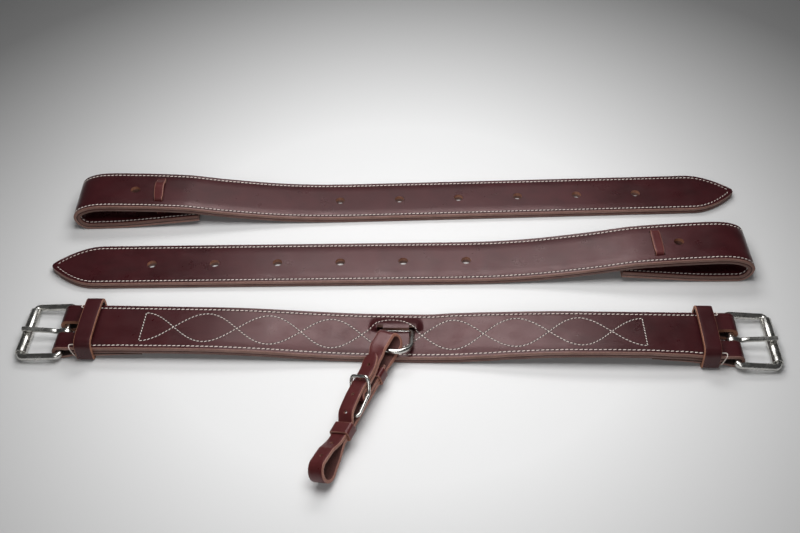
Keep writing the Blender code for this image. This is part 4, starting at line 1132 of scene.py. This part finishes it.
def billet_row(path, side, offset, place):
    """The stitch line along one edge of a billet, on its outer (+) or inner (-) surface."""
    flat = []
    for k, normal in enumerate(normals_of(path)):
        d, z = path[k]
        w = HALF_WIDTH - SEAM_INSET
        if d > BILLET_LENGTH - BILLET_TIP - 6 and k > len(path) // 2:
            slope = (billet_half(d + 0.2) - billet_half(d - 0.2)) / 0.4
            size = hypot(1.0, slope)
            d = d + SEAM_INSET * slope / size
            w = billet_half(path[k][0]) - SEAM_INSET / size
            if w < 0.5 or (flat and d <= flat[-1][0] + 0.05):
                continue
        flat.append((d, z, w, normal))
    points, normals = [], []
    for d, z, w, normal in flat:
        here = Vector(place(d + normal[0] * offset, side * w, z + normal[1] * offset))
        out = Vector(place(d + normal[0] * (offset + 1), side * w, z + normal[1] * (offset + 1)))
        points.append(here)
        normals.append((out - here) * (1 if offset > 0 else -1))
    return Row(points[1:], normals[1:])


def make_billet(word, loop_x, y_at_centre, yaw, direction, first_from_tip, loop_hole, lace_d, lace_slack):
    yaw = radians(yaw)
    end = Vector((loop_x, y_at_centre + loop_x * tan(yaw), 0))
    along = Vector((cos(yaw), sin(yaw), 0)) * direction
    across = Vector((-sin(yaw), cos(yaw), 0))

    def place(a, w, b):
        return end + along * a + across * w + Vector((0, 0, b))

    body = word + "_billet"
    path = billet_path()
    half_count = len(path) // 2
    widths = [billet_half(d) if k > half_count else HALF_WIDTH for k, (d, _) in enumerate(path)]
    ply = BILLET_PLY + (GAP - SEAM_GAP) / 2
    top_z = height_at(path, lace_d, True) + BILLET_MID
    low_z = height_at(path, lace_d, False) - BILLET_MID
    holes = []
    for d in [BILLET_LENGTH - first_from_tip - k * HOLE_PITCH for k in range(BILLET_HOLES)] + [loop_hole]:
        foot = place(d, 0, height_at(path, d, True) - BILLET_MID - 0.7)
        holes.append(prism(disc(foot, HOLE_RADIUS, along, across, 28), Vector((0, 0, 2 * BILLET_MID + 1.4))))
    slits = []
    for side in (-1, 1):
        a, b = LACE_SLIT_HALF
        corners = ((-a, -b), (a, -b), (a, b), (-a, b))
        ring = [place(lace_d + a, side * LACE_REACH + b, low_z - 2) for a, b in corners]
        slits.append(prism(ring, Vector((0, 0, top_z - low_z + 4))))
    for part_name, node, sign, rounds, materials, wall in (
        ("face", "face_ply", 1, (0.75, 0.4), LEATHER, WALL),
        # The lining's hole walls take its edge kind, the darker edge copy: painted shade deeper in the holes
        ("lining", "lining", -1, (0.4, 0.75), LINING_LEATHER, EDGE),
    ):
        shape = strap(
            path, ply, widths, place, sign * (ply + SEAM_GAP) / 2, half=HALF_WIDTH,
            top_round=rounds[0], low_round=rounds[1], seam=SEAM_DEPTH, low_seam=sign < 0, joint=-sign,
        )
        obj = leather(
            f"{body}_{part_name}_leather", shape, materials, body, f"{body}_{node}",
            swap={FLESH: GRAIN} if sign < 0 else None,
        )
        cut(obj, holes, wall)
        cut(obj, slits, FLESH)
    rows = [billet_row(path, side, offset, place) for side in (-1, 1) for offset in (BILLET_MID, -BILLET_MID)]
    sew(body, rows, BILLET_PITCH, body)

    corner = 0.35 + GAP + LACE_PLY / 2
    high = top_z + corner
    path = rounded_box(LACE_REACH, low_z - corner, high, corner, 6)
    path += [(w * LACE_REACH, high) for w in spaced(-0.75, 0.75, 10)]
    path = [(w, z + lace_slack * cos(w / LACE_REACH * pi / 2) ** 2 * (z > top_z)) for w, z in path]
    shape = strap(
        path, LACE_PLY, [LACE_HALF - 0.5 * smooth((abs(w) - 9.0) / 3.0) for w, _ in path],
        lambda a, w, b: place(lace_d + w, a, b), closed=True, half=LACE_HALF, top_round=0.6, low_round=0.3,
    )
    leather(f"{body}_lace_leather", shape, RED_LEATHER, body, f"{body}_lace", True)


# Studio


def make_floor():
    n = Nodes("studio_floor")
    # Painted shade: the floor's colour falls from pale grey near the cinch to dark grey 0.20 to 0.54 m away,
    # standing in for the lamps' falloff
    falloff_centre = n.add("ShaderNodeMapping", Location=(0.0, -0.07, 0), Vector=n.place())
    away = n.add("ShaderNodeVectorMath", operation="LENGTH", Vector=falloff_centre.outputs["Vector"])
    painted_falloff = n.spread(away.outputs["Value"], 0.0, 1.0, 0.20, 0.54)
    painted_falloff_colour = n.mix(painted_falloff, (0.80, 0.80, 0.80), (0.30, 0.30, 0.30))
    n.finish(Base_Color=painted_falloff_colour, Roughness=0.75, Specular_IOR_Level=0.25)
    mesh = bpy.data.meshes.new("studio_floor")
    corners = [(-4.0, -4.0, 0), (4.0, -4.0, 0), (4.0, 4.0, 0), (-4.0, 4.0, 0)]
    mesh.from_pydata(corners, [], [(0, 1, 2, 3)])
    mesh.materials.append(n.material)
    floor = bpy.data.objects.new("studio_floor", mesh)
    floor.location.z = -0.0002
    bpy.context.scene.collection.objects.link(floor)


def area_light(name, place, aim, size_x, size_y, power):
    data = bpy.data.lights.new(name, "AREA")
    data.shape = "RECTANGLE"
    data.size = size_x
    data.size_y = size_y
    data.energy = power
    obj = bpy.data.objects.new(name, data)
    obj.location = place
    obj.rotation_euler = (Vector(aim) - Vector(place)).to_track_quat("-Z", "Y").to_euler()
    bpy.context.scene.collection.objects.link(obj)


def make_camera():
    """The photo's camera: its angles, lens and place come from a fit to the billets' holes."""
    pitch, yaw, roll = radians(43.69), radians(2.48), radians(1.09)
    level = Vector((cos(yaw), sin(yaw), 0))
    low = Vector((sin(yaw) * sin(pitch), -cos(yaw) * sin(pitch), -cos(pitch)))
    right = level * cos(roll) + low * sin(roll)
    down = -level * sin(roll) + low * cos(roll)
    back = right.cross(-down)
    data = bpy.data.cameras.new("camera")
    data.sensor_width = 36.0
    data.lens = 1072.1 / 800 * 36.0
    camera = bpy.data.objects.new("camera", data)
    matrix = Matrix((right, -down, back)).transposed().to_4x4()
    camera.matrix_world = Matrix.Translation(Vector((27.7, -546.7, 600.4)) * MM) @ matrix
    bpy.context.scene.collection.objects.link(camera)
    bpy.context.scene.camera = camera


def make_studio():
    make_floor()
    area_light("overhead", (0.0, 0.0, 0.50), (0.0, 0.0, 0.0), 0.42, 0.34, 2.25)
    area_light("back_softbox", (0.005, 0.44, 0.50), (0.01, -0.02, 0.0), 0.44, 0.18, 1.5)
    area_light("rear_softbox", (0.0, 0.74, 0.56), (0.0, 0.10, 0.0), 0.56, 0.30, 0.45)
    area_light("front_fill", (-0.05, -0.80, 0.55), (0.0, 0.05, 0.0), 0.45, 0.30, 1.6)
    world = bpy.data.worlds.new("studio")
    world.use_nodes = True
    world.node_tree.nodes["Background"].inputs["Color"].default_value = (0.05, 0.05, 0.05, 1)
    bpy.context.scene.world = world
    bpy.context.scene.view_settings.view_transform = "Standard"


make_cinch()
for side, word in ((-1, "left"), (1, "right")):
    make_buckle(side, word)
    make_keeper(side, word)
make_dee()
make_connector()
make_connector_buckle()
layers_top = LAYER_STEP + CONNECTOR_PLY
make_connector_keeper(
    "connector_keeper", "connector_keeper_loop", MAIN_KEEPER_S, MAIN_KEEPER_LENGTH, layers_top
)
tail_top = BAR_N - (SMALL_WIRE / 2 + GAP + CONNECTOR_PLY / 2) + 0.2 + CONNECTOR_PLY / 2
make_connector_keeper(
    "connector_small_keeper", "connector_small_loop", SMALL_KEEPER_S, SMALL_KEEPER_LENGTH, tail_top
)
make_billet("middle", 279.8, 81.6, 1.87, -1, 80.5, 57.5, 74.7, 0.0)
make_billet("upper", -275.5, 159.2, 3.10, 1, 83.7, 50.5, 71.3, 3.5)
make_studio()
make_camera()
